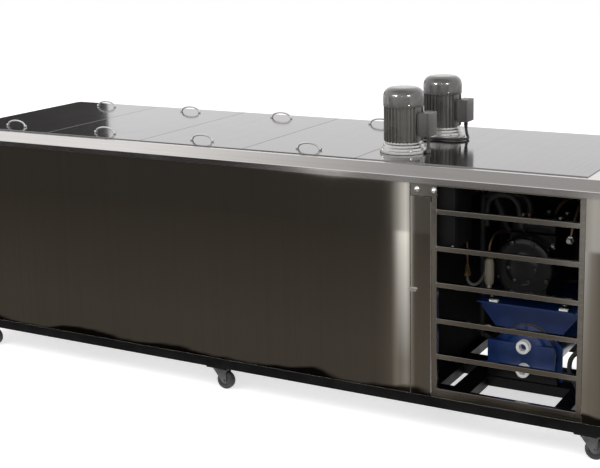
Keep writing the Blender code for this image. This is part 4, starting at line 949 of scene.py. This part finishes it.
# ---- Sheet work ----------------------------------------------------------------------------------
@dataclass
class FoldedRim:
    """The folded edge all round: upright lip, sloped nosing and a flat flange, with rounded bends."""

    shop: Workshop
    nose: float = 0.035
    wall: float = 0.0019
    bend: float = 0.0045
    steps: int = 5
    lift: float = 0.0004

    def bends(self, corner: tuple[float, float], first: float, last: float) -> list[tuple[float, float]]:
        """Points round one 45 degree bend, from the upright or sloped side to the next.

        Args:
            corner: Inset and height of the sharp corner.
            first: Angle of the surface direction before it, in degrees.
            last: The same after it.

        Returns:
            Inset and height points.
        """
        middle, first, last = Vector(corner), radians(first), radians(last)
        reach = self.bend * abs((last - first) / 2)
        start = middle - reach * Vector((cos(first), sin(first)))
        end = middle + reach * Vector((cos(last), sin(last)))
        shares = [i / self.steps for i in range(self.steps + 1)]
        return [tuple(start * (1 - t) ** 2 + middle * 2 * t * (1 - t) + end * t ** 2) for t in shares]

    def build(self) -> None:
        """Sweeps the section round the chest, mitred at the corners."""
        low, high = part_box("rim_frame")
        deck, bottom, wall = high.z, low.z + self.lift, self.wall
        slope = wall * 0.4142
        outer = [(0.0, bottom), *self.bends((0.0, deck - self.nose), 90, 45), *self.bends((self.nose, deck), 45, 0)]
        inner = [*self.bends((self.nose + slope * 0.9, deck - wall), 180, 225),
                 *self.bends((wall, deck - self.nose - slope), 225, 270), (wall, bottom)]
        hole = self.square(*self.opening())
        rings = [*[self.ring(inset, z, low, high) for inset, z in outer],
                 *[[(x, y, z) for x, y in hole] for z in (deck, deck - wall)],
                 *[self.ring(inset, z, low, high) for inset, z in inner]]
        bm = bmesh.new()
        bridge(bm, [[bm.verts.new(place) for place in ring] for ring in rings], closed=True)
        bmesh.ops.recalc_face_normals(bm, faces=bm.faces)
        sheet = flat_faced(smoothed(from_bmesh("rim_folded_sheet", bm), 40), 90)
        self.shop.hand_over(sheet, Finishes.rim, nodes=("rim_frame",))

    def ring(self, inset: float, z: float, low: Vector, high: Vector) -> list[Place]:
        """Four corners at one inset from the outside."""
        return [(x, y, z) for x, y in self.square((low.x + inset, low.y + inset), (high.x - inset, high.y - inset))]

    @staticmethod
    def square(low: Sequence[float], high: Sequence[float]) -> list[tuple[float, float]]:
        """Corners of a rectangle, in turn."""
        return [(low[0], low[1]), (high[0], low[1]), (high[0], high[1]), (low[0], high[1])]

    @staticmethod
    def opening() -> tuple[tuple[float, float], tuple[float, float]]:
        """The hole under the lids and the deck plate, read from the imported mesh."""
        corners = [vert.co for vert in bpy.data.objects["rim_frame"].data.vertices]
        top = max(corner.z for corner in corners)
        xs, ys = (sorted({round(corner[i], 4) for corner in corners if corner.z > top - 0.0001}) for i in (0, 1))
        return (xs[1], ys[1]), (xs[-2], ys[-2])


@dataclass
class Panels:
    """Outer panels, base frame, floor sheet and bulkhead, with the screws of the rear and end panels."""

    shop: Workshop
    screw_pitch: float = 0.17
    rows: int = 5

    def build(self) -> None:
        """Rounds the sheets' edges and puts the screws in."""
        shop = self.shop
        for node in ("front_panel", "rear_panel", "left_end_panel", "right_end_panel"):
            shop.soften(node, Finishes.panel, 0.0006)
        shop.soften("base_frame", Finishes.frame, 0.0016)
        shop.soften("deck_plate", Finishes.lid, 0.0009)
        self.lining()
        # The floor sheet and bulkhead get the darkened bay steel: painted shade inside the machine bay.
        for node, finish in (("floor_and_bulkhead", Finishes.dull), ("inner_tank", Finishes.inside),
                             ("foam_insulation", Finishes.foam), ("evaporator_plate", Finishes.inside)):
            shop.dress(node, finish)
        low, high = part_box("rear_panel")
        left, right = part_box("left_end_panel")[0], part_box("right_end_panel")[1]
        levels = (low.z + 0.020, high.z - 0.035)
        columns = round((high.x - low.x) / self.screw_pitch)
        along = [low.x + 0.02 + (high.x - low.x - 0.04) * i / columns for i in range(columns + 1)]
        across = [left.y + 0.022 - (2 * left.y + 0.044) * i / self.rows for i in range(self.rows + 1)]
        for name, axis, places in (("rear_panel", Axis.Y, [(x, high.y, z) for x in along for z in levels]),
                                   ("left_end", Axis.LEFT, [(left.x, y, z) for y in across for z in levels]),
                                   ("right_end", Axis.X, [(right.x, y, z) for y in across for z in levels])):
            shop.bolts(f"{name}_screws", Heads.pan, facing(axis, *places))

    def lining(self) -> None:
        """Black sheets on the rear wall, the bulkhead and the right end of the machine bay: painted shade that keeps
        the bay dark.
        """
        bulkhead, front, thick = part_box("floor_and_bulkhead")[1], -0.420, 0.0055
        x0, x1 = bulkhead.x + 0.0004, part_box("right_end_panel")[1].x - 0.0024
        y1, z0, z1 = bulkhead.y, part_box("rear_panel")[0].z + 0.008, bulkhead.z - 0.012
        sheets = [block("lining", low, high, 0.0015, 2) for low, high in (
            ((x0, y1 - 0.0060, z0), (x1, y1 - 0.0004, z1)),
            ((x0, front, z0), (x0 + thick, y1 - 0.0064, z1)),
            ((x1 - thick, front, z0), (x1, y1 - 0.0064, z1)))]
        # The black sheets are painted shade inside the bay.
        self.shop.hand_over(merged("bay_lining", sheets), Finishes.lining)


@dataclass
class Lid:
    """One lift-off lid with a front and a rear bar handle."""

    shop: Workshop
    number: int
    bar: float = 0.0040
    bead_length: float = 0.011

    def build(self) -> None:
        """Rounds the lid's edges and makes both handles."""
        body = f"lid_{self.number}"
        self.shop.soften(body, Finishes.lid, 0.0011, body)
        for row in ("front", "rear"):
            self.handle(f"{body}_{row}_handle", body)

    def handle(self, node: str, body: str) -> None:
        """A bent round bar whose flat feet are welded down on the lid."""
        box, r = Box(node), self.bar
        x, y, z, half = box.x, box.y, box.low.z, box.wide / 2
        arch, foot = half - 0.010, r + 0.0016
        rise = box.tall - r - foot
        points = [(-half, r), (-arch - 0.0045, r)]
        points += [(-arch * cos(pi * i / 10), foot + rise * sin(pi * i / 10)) for i in range(11)]
        points += [(arch + 0.0045, r), (half, r)]
        bar = hose(f"{node}_bar", eased([(x + a, y, z + c) for a, c in points], 0.0022), r, 16)
        for vert in bar.data.vertices:
            if abs(vert.co.x - x) > half - 0.0001:
                vert.co.x = x + (vert.co.x - x) * 0.9996
        pieces = [bar]
        for side, edge in ((-1, -1), (-1, 1), (1, -1), (1, 1)):
            weld = bead(self.bead_length, 0.0042, 0.0034)
            weld.data.transform(Matrix.Translation((x + side * (half - 0.0062), y + edge * r * 0.92, z + 0.0014)))
            pieces.append(weld)
        self.shop.hand_over(merged(f"{node}_bar", pieces), Finishes.bright, body, (node,))


@dataclass
class StirringMotor:
    """A finned vertical motor with its flange, fan cover and terminal box, and the agitator under it."""

    shop: Workshop
    row: str
    fins: int = 30
    root: float = 0.0662
    tip: float = 0.0758
    bore: float = 0.0112
    fin_low: float = 0.040
    fin_high: float = 0.1740
    cover_radius: float = 0.0775
    cover_high: float = 0.248
    cover_drop: float = 0.0165
    crown: float = 0.034
    box_low: float = 0.066

    def at(self, x: float, y: float, z: float) -> Place:
        """A place from the motor's own foot."""
        housing = Box(f"{self.row}_motor_housing")
        return (housing.x + x, housing.y + y, housing.low.z + z)

    def build(self) -> None:
        """Makes the motor from its flange up."""
        row, origin, shop = self.row, self.at(0, 0, 0), self.shop
        foot = mm((68.0, 44.0), (70.0, 42.5), (71.2, 40.5), (71.2, 35.5), (74.5, 34.0), (77.2, 32.5), (78.5, 30.5),
                  (78.5, 26.2), (80.0, 24.0), (83.2, 21.8), (85.0, 19.0), (85.2, 15.0), (86.6, 12.8), (89.0, 12.1),
                  (90.5, 11.0), (91.0, 9.5), (91.0, 1.2), (90.0, 0.1), (11.2, 0.1), (11.2, 44.0))
        shop.turned(f"{row}_motor_flange", foot, origin, Finishes.flange, steps=96, closed=True, angle=38)
        root, bore, top = self.root, self.bore, 0.1915
        barrel = [(root - 0.003, top), (root - 0.001, 0.1912), (root, 0.1900), (root, 0.0430), (bore, 0.0430),
                  (bore, top)]
        shop.turned(f"{row}_motor_barrel", barrel, origin, Finishes.fins, steps=90, closed=True,
                    nodes=(f"{row}_motor_housing",))
        self.finning()
        self.fan_cover(origin)
        self.terminal_box()
        corners = circle_places(0.0842, 4, self.at(0, 0, 0.0125), Axis.Z, radians(45))
        shop.bolts(f"{row}_flange_bolts", Heads.m6, corners)
        shop.dress(f"{row}_agitator_shaft", Finishes.shaft)

    def finning(self) -> None:
        """Repeats one tapered fin round the barrel, leaving out those behind the terminal box."""
        root, tip, low, high = self.root, self.tip, self.fin_low, self.fin_high
        shape = [(root - 0.001, low), (tip - 0.004, low), (tip, low + 0.006), (tip, high - 0.001), (tip - 0.001, high),
                 (root - 0.001, high)]
        bm = bmesh.new()
        sides = [[bm.verts.new((r, side * (0.00155 - 0.00055 * (r - root) / (tip - root)), z)) for r, z in shape]
                 for side in (-1, 1)]
        bm.faces.new(sides[0])
        bm.faces.new(list(reversed(sides[1])))
        bridge(bm, sides)
        bmesh.ops.recalc_face_normals(bm, faces=bm.faces)
        long_edges = [edge for edge in bm.edges if min(v.co.x for v in edge.verts) > tip - 0.005
                      and abs(edge.verts[0].co.y - edge.verts[1].co.y) < 1e-5]
        bmesh.ops.bevel(bm, geom=long_edges, offset=0.0006, segments=2, profile=0.5, affect="EDGES")
        angles = [tau * (i + 0.5) / self.fins for i in range(self.fins)]
        places = [(Vector(self.at(0, 0, 0)), Quaternion((0, 0, 1), angle)) for angle in angles
                  if abs(atan2(sin(angle), cos(angle))) >= radians(27)]
        self.shop.repeat(f"{self.row}_motor_fins", from_bmesh("fin", bm), places, Finishes.fins)

    def fan_cover(self, origin: Place) -> None:
        """Spun cover with a rounded crown, a slightly rounded lower edge and screws."""
        row, r, top, c, wall = self.row, self.cover_radius, self.cover_high, self.crown, 0.0018
        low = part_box(f"{row}_fan_cover")[0].z - origin[2] - self.cover_drop
        shell = [(0.0, top), (0.020, top - 0.0001), (0.040, top - 0.0004)]
        shell += [(r - c + c * sin(a), top - c + (c - 0.0008) * cos(a)) for a in arc(0, 91, 9)]
        shell += [(r, low + 0.0120), (r, low + 0.0012), (r - 0.0008, low), (r - wall, low), (r - wall, top - c)]
        shell += [(r - c + (c - wall) * sin(a), top - c + (c - wall) * cos(a)) for a in arc(90, -1, -15)]
        self.shop.turned(f"{row}_fan_cover_shell", [*shell, (0.0, top - wall)], origin, Finishes.motor, steps=96,
                         angle=40, nodes=(f"{row}_fan_cover",))
        ways = [Vector((cos(a), sin(a), 0)) for a in arc(40, 311, 90)]
        spots = [(Vector(self.at(0, 0, low + 0.0095)) + way * (r - 0.0008), way) for way in ways]
        self.shop.bolts(f"{row}_fan_cover_screws", Heads.cover_pan, spots)

    def terminal_box(self) -> None:
        """Cast box with a neck to the barrel, a gasket, a screwed lid and the gland under it."""
        row, low_z = self.row, self.box_low
        low, high = (corner - Vector(self.at(0, 0, 0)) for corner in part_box(f"{row}_terminal_box"))
        top, half, face = high.z, high.y, high.x
        parts = [block("part", self.at(x0, -y, z0), self.at(x1, y, z1), radius, segments)
                 for x0, x1, y, z0, z1, radius, segments in (
                     (self.root - 0.002, low.x + 0.004, half * 0.78, low_z + 0.006, top - 0.006, 0.003, 3),
                     (low.x + 0.0002, face - 0.0092, half, low_z, top, 0.0035, 4),
                     (face - 0.0078, face, half, low_z, top, 0.0028, 4),
                     (face - 0.0100, face - 0.0070, half - 0.0012, low_z + 0.0012, top - 0.0012, 0.0008, 1))]
        self.shop.hand_over(merged(f"{row}_terminal_box_case", parts), Finishes.box, nodes=(f"{row}_terminal_box",))
        corners = [self.at(face - 0.0012, y, z) for y in (-half + 0.0065, half - 0.0065)
                   for z in (low_z + 0.0065, top - 0.0065)]
        self.shop.bolts(f"{row}_terminal_box_screws", Heads.box_pan, facing(Axis.X, *corners))
        gland = mm((6.0, 67.0), (9.3, 66.5), (9.5, 65.5), (9.5, 63.0), (7.8, 62.4), (7.8, 61.0), (6.8, 59.4),
                   (6.2, 58.4))
        if row == "rear":
            gland += mm((5.8, 58.2))
        else:
            gland += mm((5.6, 17.0), (5.6, 16.0), (8.8, 13.5), (9.4, 12.0), (9.4, 0.8), (9.0, 0.6))
        self.shop.turned(f"{row}_terminal_box_gland", gland, self.at(0.101, 0, 0),
                         Finishes.rubber if row == "rear" else Finishes.box, steps=32)


@dataclass
class MotorCable:
    """The rear motor's cable, lying on the deck from its terminal box to the deck gland."""

    shop: Workshop
    radius: float = 0.0055
    sleeve_length: float = 0.021
    route: Sequence[Place] = (
        (101.0, 0.0, 58.0), (101.0, 0.0, 50.0), (104.5, -5.4, 33.0), (113.0, -17.4, 16.0), (123.5, -33.0, 8.2),
        (130.0, -53.0, 6.2), (127.0, -74.0, 6.2), (113.0, -94.0, 6.2), (90.0, -106.0, 6.2), (60.0, -108.5, 6.2),
        (28.0, -108.0, 6.2), (0.0, -111.0, 6.2), (-25.0, -121.0, 6.6), (-42.0, -137.0, 8.5), (-50.0, -153.0, 10.7),
        (-51.2, -165.0, 11.0), (-51.2, -172.0, 11.0))

    def build(self) -> None:
        """Lays the cable, with a tapered sleeve at each end."""
        housing, deck = Box("rear_motor_housing"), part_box("lid_1")[1].z
        path = eased([(housing.x + a, housing.y + b, deck + c) for a, b, c in mm(*self.route)], 0.004)
        cable = hose("rear_motor_cable_sheath", path, self.radius, 18)
        self.shop.hand_over(cable, Finishes.rubber, nodes=("rear_motor_cable",))
        sleeves = [self.sleeve(f"cable_sleeve_{end}_end", way)
                   for end, way in (("box", path), ("deck", list(reversed(path))))]
        for piece in sleeves:
            self.shop.hand_over(piece, Finishes.rubber)
        log.info("rear motor cable: %.3f m, %d points", path_length(path), len(path))

    def sleeve(self, name: str, path: Sequence[Vector]) -> Obj:
        """A tapered, ribbed strain relief along the start of a path."""
        run, travelled, steps = [], 0.0, 14
        for a, b in zip(path, path[1:]):
            if travelled > self.sleeve_length:
                break
            run.append((a, (b - a).normalized(), travelled))
            travelled += (b - a).length
        bm, rings = bmesh.new(), []
        for i in range(steps + 1):
            along = self.sleeve_length * i / steps
            place, tangent, start = [entry for entry in run if entry[2] <= along + 1e-9][-1]
            centre = place + tangent * (along - start)
            radius = self.radius + 0.0024 * (1 - i / steps) + 0.0003 + (0.0004 if i % 2 else 0.0)
            side = tangent.orthogonal().normalized() if abs(tangent.z) < 0.9 else Vector((1, 0, 0))
            side = (side - tangent * side.dot(tangent)).normalized()
            other = tangent.cross(side)
            rings.append([bm.verts.new(centre + radius * (side * c + other * s)) for c, s in circle(20)])
        bridge(bm, rings)
        for ring in (rings[0], rings[-1]):
            bm.faces.new(ring)
        bmesh.ops.recalc_face_normals(bm, faces=bm.faces)
        return smoothed(from_bmesh(name, bm), 50)


# ---- Machine bay ---------------------------------------------------------------------------------
@dataclass
class BayFront:
    """Grille, control strip, hinged cover, latch and push buttons in front of the machine bay."""

    shop: Workshop
    knuckle: float = 0.030
    knuckle_radius: float = 0.0021
    stile: float = 0.020
    opening: float = 0.520

    def build(self) -> None:
        """Makes the front of the bay."""
        self.shop.soften("bay_grille", Finishes.bar, 0.0011)
        self.shop.soften("control_cover", Finishes.panel, 0.0008, "control_cover")
        self.shop.soften("panel_latch", Finishes.bright, 0.0012, "panel_latch", 3)
        self.weld_beads()
        self.hinge()
        for button in ("start_button", "stop_button"):
            self.push_button(button)

    def weld_beads(self) -> None:
        """Small fillet welds where each bar meets a stile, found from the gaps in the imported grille."""
        low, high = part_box("bay_grille")
        stiles = (high.x - 2 * self.stile - self.opening + self.stile, high.x - self.stile)
        corners = [vert.co for vert in bpy.data.objects["bay_grille"].data.vertices]
        levels = sorted({round(corner.z, 4) for corner in corners if abs(corner.x - stiles[0]) < 0.0006})
        middles = [(a + b) / 2 for a, b in zip(levels[1:-1:2], levels[2:-1:2])]
        line = bead(0.0165, 0.0016, 0.0040)
        line.data.transform(Matrix.Rotation(pi / 2, 4, "X"))
        for name, item, y, heights, axis in (
                ("grille_bar_welds", bead(0.017, 0.0052, 0.0044), low.y + 0.0095, levels[1:-1], Axis.Z),
                ("grille_face_welds", line, low.y + 0.0002, middles, Axis.Y)):
            turn = Quaternion(axis.value, pi / 2)
            self.shop.repeat(name, item, [(Vector((x, y, z)), turn) for z in heights for x in stiles], Finishes.bright)

    def hinge(self) -> None:
        """Hinge knuckles that belong in turn to the cover and to the grille."""
        cover, r, half = Box("control_cover"), self.knuckle_radius, self.knuckle / 2
        count = int((cover.tall - 0.02) / self.knuckle)
        start = cover.z - count * self.knuckle / 2
        outline = [(0.0, half - 0.0003), (r - 0.0003, half - 0.0003), (r, half - 0.0006)]
        outline += [(radius, -height) for radius, height in reversed(outline)]
        for turn, (part, body) in enumerate((("cover", "control_cover"), ("grille", CHASSIS))):
            places = [(Vector((cover.high.x + 0.0010, cover.low.y - 0.0010, start + (i + 0.5) * self.knuckle)),
                       Quaternion()) for i in range(turn, count, 2)]
            item = lathe("knuckle", outline, (0, 0, 0), steps=14)
            self.shop.repeat(f"hinge_knuckles_of_{part}", item, places, Finishes.bright, body)

    def push_button(self, node: str) -> None:
        """A domed push button in its screwed collar."""
        box, face = Box(node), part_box("bay_grille")[0].y
        origin, r, dome, back = (box.x, face, box.z), box.wide / 2, face - box.low.y, face - box.high.y
        outline = [(r * sin(a), dome * cos(a)) for a in arc(0, 91, 10)]
        outline += [(r, back + 0.0018), (r - 0.0018, back), (0.0, back)]
        self.shop.turned(f"{node}_dome", outline, origin, Finishes.button, Axis.FRONT, 40, body=node, nodes=(node,))
        collar = [(r + a, h) for a, h in mm((0.3, 1.2), (1.2, 1.6), (2.8, 1.2), (3.4, 0.4), (3.4, -0.6), (0.3, -0.6))]
        self.shop.turned(f"{node}_collar", collar, origin, Finishes.zinc, Axis.FRONT, 40, closed=True)


@dataclass
class CoolingUnit:
    """Blue water-cooled condenser with the black compressor on white bushes above it, and their pipes."""

    shop: Workshop
    axis_x: float = 1.07
    axis_z: float = 0.5943
    cover_bolts: int = 10
    port_bore: float = 0.0142
    tank_front: float = -0.4725

    def build(self) -> None:
        """Makes the condenser, the compressor, the pipes and the small fittings."""
        self.condenser()
        for node in ("water_inlet", "water_outlet"):
            self.port(node)
        self.compressor()
        self.pipes()
        self.fittings()

    def condenser(self) -> None:
        """Shell with feet and saddle, a tube plate's edge and the bolted end cover."""
        shop, cover = self.shop, Box("condenser_end_cover")
        shop.soften("condenser_shell", Finishes.blue, 0.0022)
        x, y, z, r, depth = cover.x, cover.high.y, cover.z, cover.wide / 2, cover.deep
        dome = [(0.0, depth), (r * 0.30, depth - 0.0002), (r * 0.52, depth - 0.0022), (r * 0.68, depth - 0.0075),
                (r * 0.77, depth - 0.0150), (r * 0.80, 0.0185), (r * 0.83, 0.0165), (r * 0.975, 0.0160), (r, 0.0146),
                (r, 0.0012), (r - 0.0010, 0.0), (0.0, 0.0)]
        shop.turned("condenser_end_dome", dome, (x, y, z), Finishes.blue, Axis.FRONT, 96,
                    nodes=("condenser_end_cover",))
        front = y - depth
        for name, finish, low, high, radius, segments in (
                ("end_rib", Finishes.blue, (x - r * 0.74, front + 0.004, z - 0.0045),
                 (x + r * 0.74, y - 0.014, z + 0.0045), 0.003, 3),
                ("front_foot", Finishes.blue, (x - 0.1485, front + 0.0010, z - 0.0710),
                 (x + 0.1170, y - 0.0170, z + 0.0400), 0.004, 4),
                # The block under the blue front foot is black: painted shade beneath the condenser.
                ("foot_rail", Finishes.frame, (x - 0.1485, front + 0.0030, cover.low.z + 0.0004),
                 (x + 0.1290, y - 0.0200, z - 0.0700), 0.003, 3)):
            shop.hand_over(merged(f"condenser_{name}", [block("part", low, high, radius, segments)]), finish)
        bolts = circle_places(r * 0.902, self.cover_bolts, (x, y - 0.0158, z), Axis.FRONT, radians(18))
        shop.bolts("condenser_end_bolts", Heads.m6, bolts, Finishes.blue)
        plate = [(r + a, h) for a, h in mm((1.6, 3.4), (2.0, 2.8), (2.0, -5.8), (1.6, -6.4), (-6, -6.4), (-6, 3.4))]
        shop.turned("condenser_tube_plate", plate, (x, y + 0.0004, z), Finishes.brass, Axis.FRONT, 96, True)

    def port(self, node: str) -> None:
        """A white moulded union: round root, screwed barrel, rolled rim and an open bore."""
        box, bore = Box(node), self.port_bore
        r, depth = box.wide / 2, box.deep
        outline = [(bore, depth - 0.0010), (bore + 0.0012, depth), (r - 0.0034, depth), (r - 0.0010, depth - 0.0012),
                   (r, depth - 0.0034), (r, depth - 0.0066), (r - 0.0022, depth - 0.0082)]
        height = depth - 0.0095
        while height > 0.0085:
            outline += [(r - 0.0036, height), (r - 0.0022, height - 0.0011)]
            height -= 0.0022
        outline += [(r - 0.0040, 0.0078), (r - 0.0006, 0.0066), (r - 0.0002, 0.0056), (r - 0.0002, 0.0006),
                    (r - 0.0008, 0.0), (bore, 0.0)]
        self.shop.turned(f"{node}_union", outline, (box.x, box.high.y, box.z), Finishes.white, Axis.FRONT, 56, True, 25,
                         nodes=(node,))

    def compressor(self) -> None:
        """Cast body and head with their bolts, on four waisted bushes with nuts."""
        shop, x, z = self.shop, self.axis_x, self.axis_z
        shop.soften("compressor_body", Finishes.iron, 0.0026, segments=3)
        shop.soften("compressor_head", Finishes.iron, 0.0030, segments=3)
        low, head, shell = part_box("compressor_body")[0], Box("compressor_head"), Box("condenser_shell")
        ring = circle_places(0.1010, 8, (x, low.y - 0.0002, z), Axis.FRONT, radians(22.5))
        ring = [spot for spot in ring if spot[0].z > low.z + 0.02]
        shop.bolts("compressor_bell_bolts", Heads.m6, ring, Finishes.dark_bolt)
        boss = mm((0, 8.5), (40, 8.5), (52, 6.0), (60, 1.8), (63, 0), (63, -2), (0, -2))
        shop.turned("compressor_end_boss", boss, (x, low.y, z), Finishes.iron, Axis.FRONT, 72)
        ring = circle_places(0.051, 6, (x, low.y - 0.0058, z), Axis.FRONT)
        shop.bolts("compressor_boss_bolts", Heads.m6, ring, Finishes.dark_bolt)
        tops = [(a, b, head.high.z - 0.0004) for a in (head.low.x + 0.013, x, head.high.x - 0.013)
                for b in (head.low.y + 0.013, head.y, head.high.y - 0.013) if (a, b) != (x, head.y)]
        shop.bolts("compressor_head_bolts", Heads.m8, facing(Axis.Z, *tops))
        seat = shell.high.z + 0.0003
        bush = [(r, max(seat - low.z, h)) for r, h in mm(
            (10.0, 0.0), (15.0, -1.0), (17.2, -6.0), (16.0, -11.0), (17.5, -16.0), (18.2, -21.5), (17.5, -25.2),
            (6.0, -25.6))]
        feet = [(x + side * 0.145, self.tank_front + depth) for depth in (0.342, 0.612) for side in (-1, 1)]
        for index, (a, b) in enumerate(feet):
            shop.turned(f"compressor_mount_{index + 1}", bush, (a, b, low.z), Finishes.white, steps=32)
        tabs = [block("tab", (side, shell.low.y + 0.004, seat),
                      (side + 0.034, shell.low.y + 0.022, shell.high.z + 0.0085), 0.002)
                for side in (x - 0.142, x + 0.130)]
        shop.hand_over(merged("compressor_mount_tabs", tabs), Finishes.white)
        nuts = [(a, b, low.z + 0.0135) for a, b in feet]
        shop.bolts("compressor_mount_nuts", Heads.m10, facing(Axis.Z, *nuts))

    def pipes(self) -> None:
        """Sleeved refrigerant pipes, and the brazed collar where one leaves the head."""
        for node in ("suction_pipe", "discharge_pipe"):
            self.shop.dress(node, Finishes.pipe)
        collar = mm((11.2, 12), (15.5, 10), (15.5, 1), (13.5, -2), (13.5, -12), (11.2, -14))
        origin = (1.04, -0.0425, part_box("compressor_head")[1].z + 0.014)
        self.shop.turned("discharge_pipe_collar", collar, origin, Finishes.copper, steps=32, closed=True)

    def fittings(self) -> None:
        """Drier, service valves, pressure switch, port caps and small lines."""
        front = Axis.FRONT
        for name, finish, origin, axis, steps, outline in (
                ("dryer_cartridge", Finishes.cream, (958, -250, 633), Axis.Z, 40,
                 ((0, 0), (6, -0.5), (12, -3), (16.5, -10), (18, -20), (18, -88), (16.5, -96), (12, -102), (8, -106),
                  (7.5, -122), (0, -122))),
                ("dryer_cap_nut", Finishes.bolt, (958, -250, 516), Axis.DOWN, 24,
                 ((0, 10), (7, 9), (10, 5), (10.5, 0), (10.5, -10), (0, -10))),
                ("suction_service_valve", Finishes.brass, (862, -225, 560), Axis.Z, 6,
                 ((0, 30), (6, 30), (7, 28), (7, 19), (10.5, 18), (10.5, 4), (13, 3), (13, -12), (0, -12))),
                ("pressure_switch", Finishes.iron, (850, -248, 835), Axis.Z, 36,
                 ((0, 58), (12, 57), (22, 52), (27, 43), (27.5, 36), (27.5, -52), (24, -60), (12, -66), (0, -67))),
                ("discharge_service_valve", Finishes.bolt, (1225, -128, 700), front, 6,
                 ((0, 21), (9, 21), (11, 18), (11, 6), (15, 4), (15, -12), (0, -12)))):
            self.shop.turned(name, mm(*outline), mm(origin)[0], finish, axis, steps, angle=20 if steps == 6 else 32)
        knob = mm((0, 16), (6, 15.5), (10.5, 12), (11.5, 8), (11.5, -4), (0, -4))
        for index, (x, z) in enumerate(((1.118, 0.672), (1.160, 0.668), (1.030, 0.672), (0.992, 0.668))):
            self.shop.turned(f"head_port_cap_{index + 1}", knob, (x, -0.1190, z),
                             Finishes.bolt if index % 2 else Finishes.iron, front, 6, angle=20)
        for name, finish, radius, sides, step, points in (
                ("dryer_line", Finishes.copper, 5.0, 14, 6,
                 ((958, -250, 630), (958, -248, 676), (963, -220, 710), (972, -165, 716), (990, -110, 700))),
                ("oil_return_hose", Finishes.braid, 6.2, 14, 6,
                 ((862, -225, 552), (864, -224, 528), (878, -215, 512), (900, -205, 520), (915, -190, 548),
                  (928, -165, 590), (950, -130, 618), (985, -100, 628))),
                ("gauge_line", Finishes.copper, 4.6, 12, 6,
                 ((862, -225, 588), (858, -222, 680), (838, -205, 760), (834, -180, 815), (836, -130, 842),
                  (838, -60, 836))),
                ("liquid_line_arch", Finishes.pipe, 9.5, 16, 8,
                 ((935, -215, 745), (935, -215.5, 800), (942, -216, 840), (965, -216.5, 863), (998, -217, 868),
                  (1030, -217, 862), (1052, -216, 838), (1060, -212, 800), (1062, -200, 755), (1062, -165, 728))),
                ("power_conduit", Finishes.sleeve, 8.5, 16, 7,
                 ((1330, -330, 205), (1316, -345, 245), (1300, -350, 285), (1303, -345, 325), (1325, -330, 350),
                  (1350, -300, 352))),
                ("crossover_line", Finishes.copper, 7.0, 14, 7,
                 ((1225, -120, 705), (1230, -100, 760), (1236, -72, 806), (1230, -30, 828), (1190, 10, 830),
                  (1140, 40, 800), (1110, 50, 750)))):
            self.shop.tube(name, mm(*points), step / 1000, radius / 1000, finish, sides)


@dataclass
class ControlBox:
    """Black switch box on the bulkhead, with a seam, screws and glands."""

    shop: Workshop
    gland_pitch: float = 0.045

    def build(self) -> None:
        """Makes the case, its door and its cable glands."""
        box = Box("control_box")
        low, high = box.low, box.high
        parts = [block("tub", (low.x, low.y + 0.0170, low.z), high, 0.003),
                 block("door", low, (high.x, low.y + 0.0150, high.z), 0.003),
                 block("seam", (low.x + 0.002, low.y + 0.012, low.z + 0.002),
                       (high.x - 0.002, low.y + 0.020, high.z - 0.002), 0.001, 1)]
        self.shop.hand_over(merged("control_box_case", parts), Finishes.switch_box, nodes=("control_box",))
        corners = [(x, low.y + 0.0004, z) for x in (low.x + 0.010, high.x - 0.010)
                   for z in (low.z + 0.010, high.z - 0.010)]
        self.shop.bolts("control_box_screws", Heads.pan, facing(Axis.FRONT, *corners))
        gland = mm((0, 18), (7, 18), (8.5, 15), (8.5, 10), (11, 9), (11, 0), (0, 0))
        glands = [lathe("gland", gland, (low.x + 0.035 + self.gland_pitch * i, box.y, low.z), Axis.DOWN, 24)
                  for i in range(3)]
        self.shop.hand_over(merged("control_box_glands", glands), Finishes.rubber)


# ---- Running gear --------------------------------------------------------------------------------
@dataclass
class Castor:
    """A swivel castor: pressed fork, tyre and hub."""

    shop: Workshop
    place: str
    bore: float = 0.0046

    def build(self) -> None:
        """Makes the fork's finish and the wheel."""
        node = f"castor_wheel_{self.place}"
        self.shop.soften(f"castor_fork_{self.place}", Finishes.castor, 0.0008, f"castor_{self.place}")
        box = Box(node)
        r, half = box.tall / 2, box.deep / 2
        tyre = [(r * 0.60, half - 0.0035), (r * 0.66, half - 0.0012), (r * 0.80, half - 0.0003),
                (r - 0.0045, half - 0.0008), (r - 0.0016, half - 0.0030), (r - 0.0003, half - 0.0068),
                (r, half - 0.012)]
        hub = [(self.bore, half), (r * 0.24, half), (r * 0.27, half - 0.0008), (r * 0.30, half - 0.0060),
               (r * 0.52, half - 0.0075), (r * 0.60, half - 0.0040), (r * 0.615, half - 0.0030)]
        for part, outline, finish, steps, angle, nodes in (("tyre", tyre, Finishes.tyre, 56, 40, (node,)),
                                                           ("hub", hub, Finishes.hub, 40, 30, ())):
            both = outline + [(radius, -height) for radius, height in reversed(outline)]
            self.shop.turned(f"{node}_{part}", both, (box.x, box.y, box.z), finish, Axis.Y, steps, True, angle,
                             f"wheel_{self.place}", nodes)


def main() -> None:
    """Builds the stage, then each sub-assembly."""
    logging.basicConfig(level=logging.INFO, format="%(name)s %(message)s")
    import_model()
    studio, shop = Studio(), Workshop()
    studio.camera()
    MotorCable(shop).build()
    studio.build()
    FoldedRim(shop).build()
    Panels(shop).build()
    for number in range(1, 5):
        Lid(shop, number).build()
    for row in ("front", "rear"):
        StirringMotor(shop, row).build()
    BayFront(shop).build()
    CoolingUnit(shop).build()
    ControlBox(shop).build()
    for place in ("left_front", "left_rear", "middle_front", "middle_rear", "right_front", "right_rear"):
        Castor(shop, place).build()
    shop.soften("drain_valve", Finishes.shaft, 0.0009)
    shop.soften("drain_lever", Finishes.blue, 0.0010, "drain_lever")


if __name__ == "__main__":
    main()
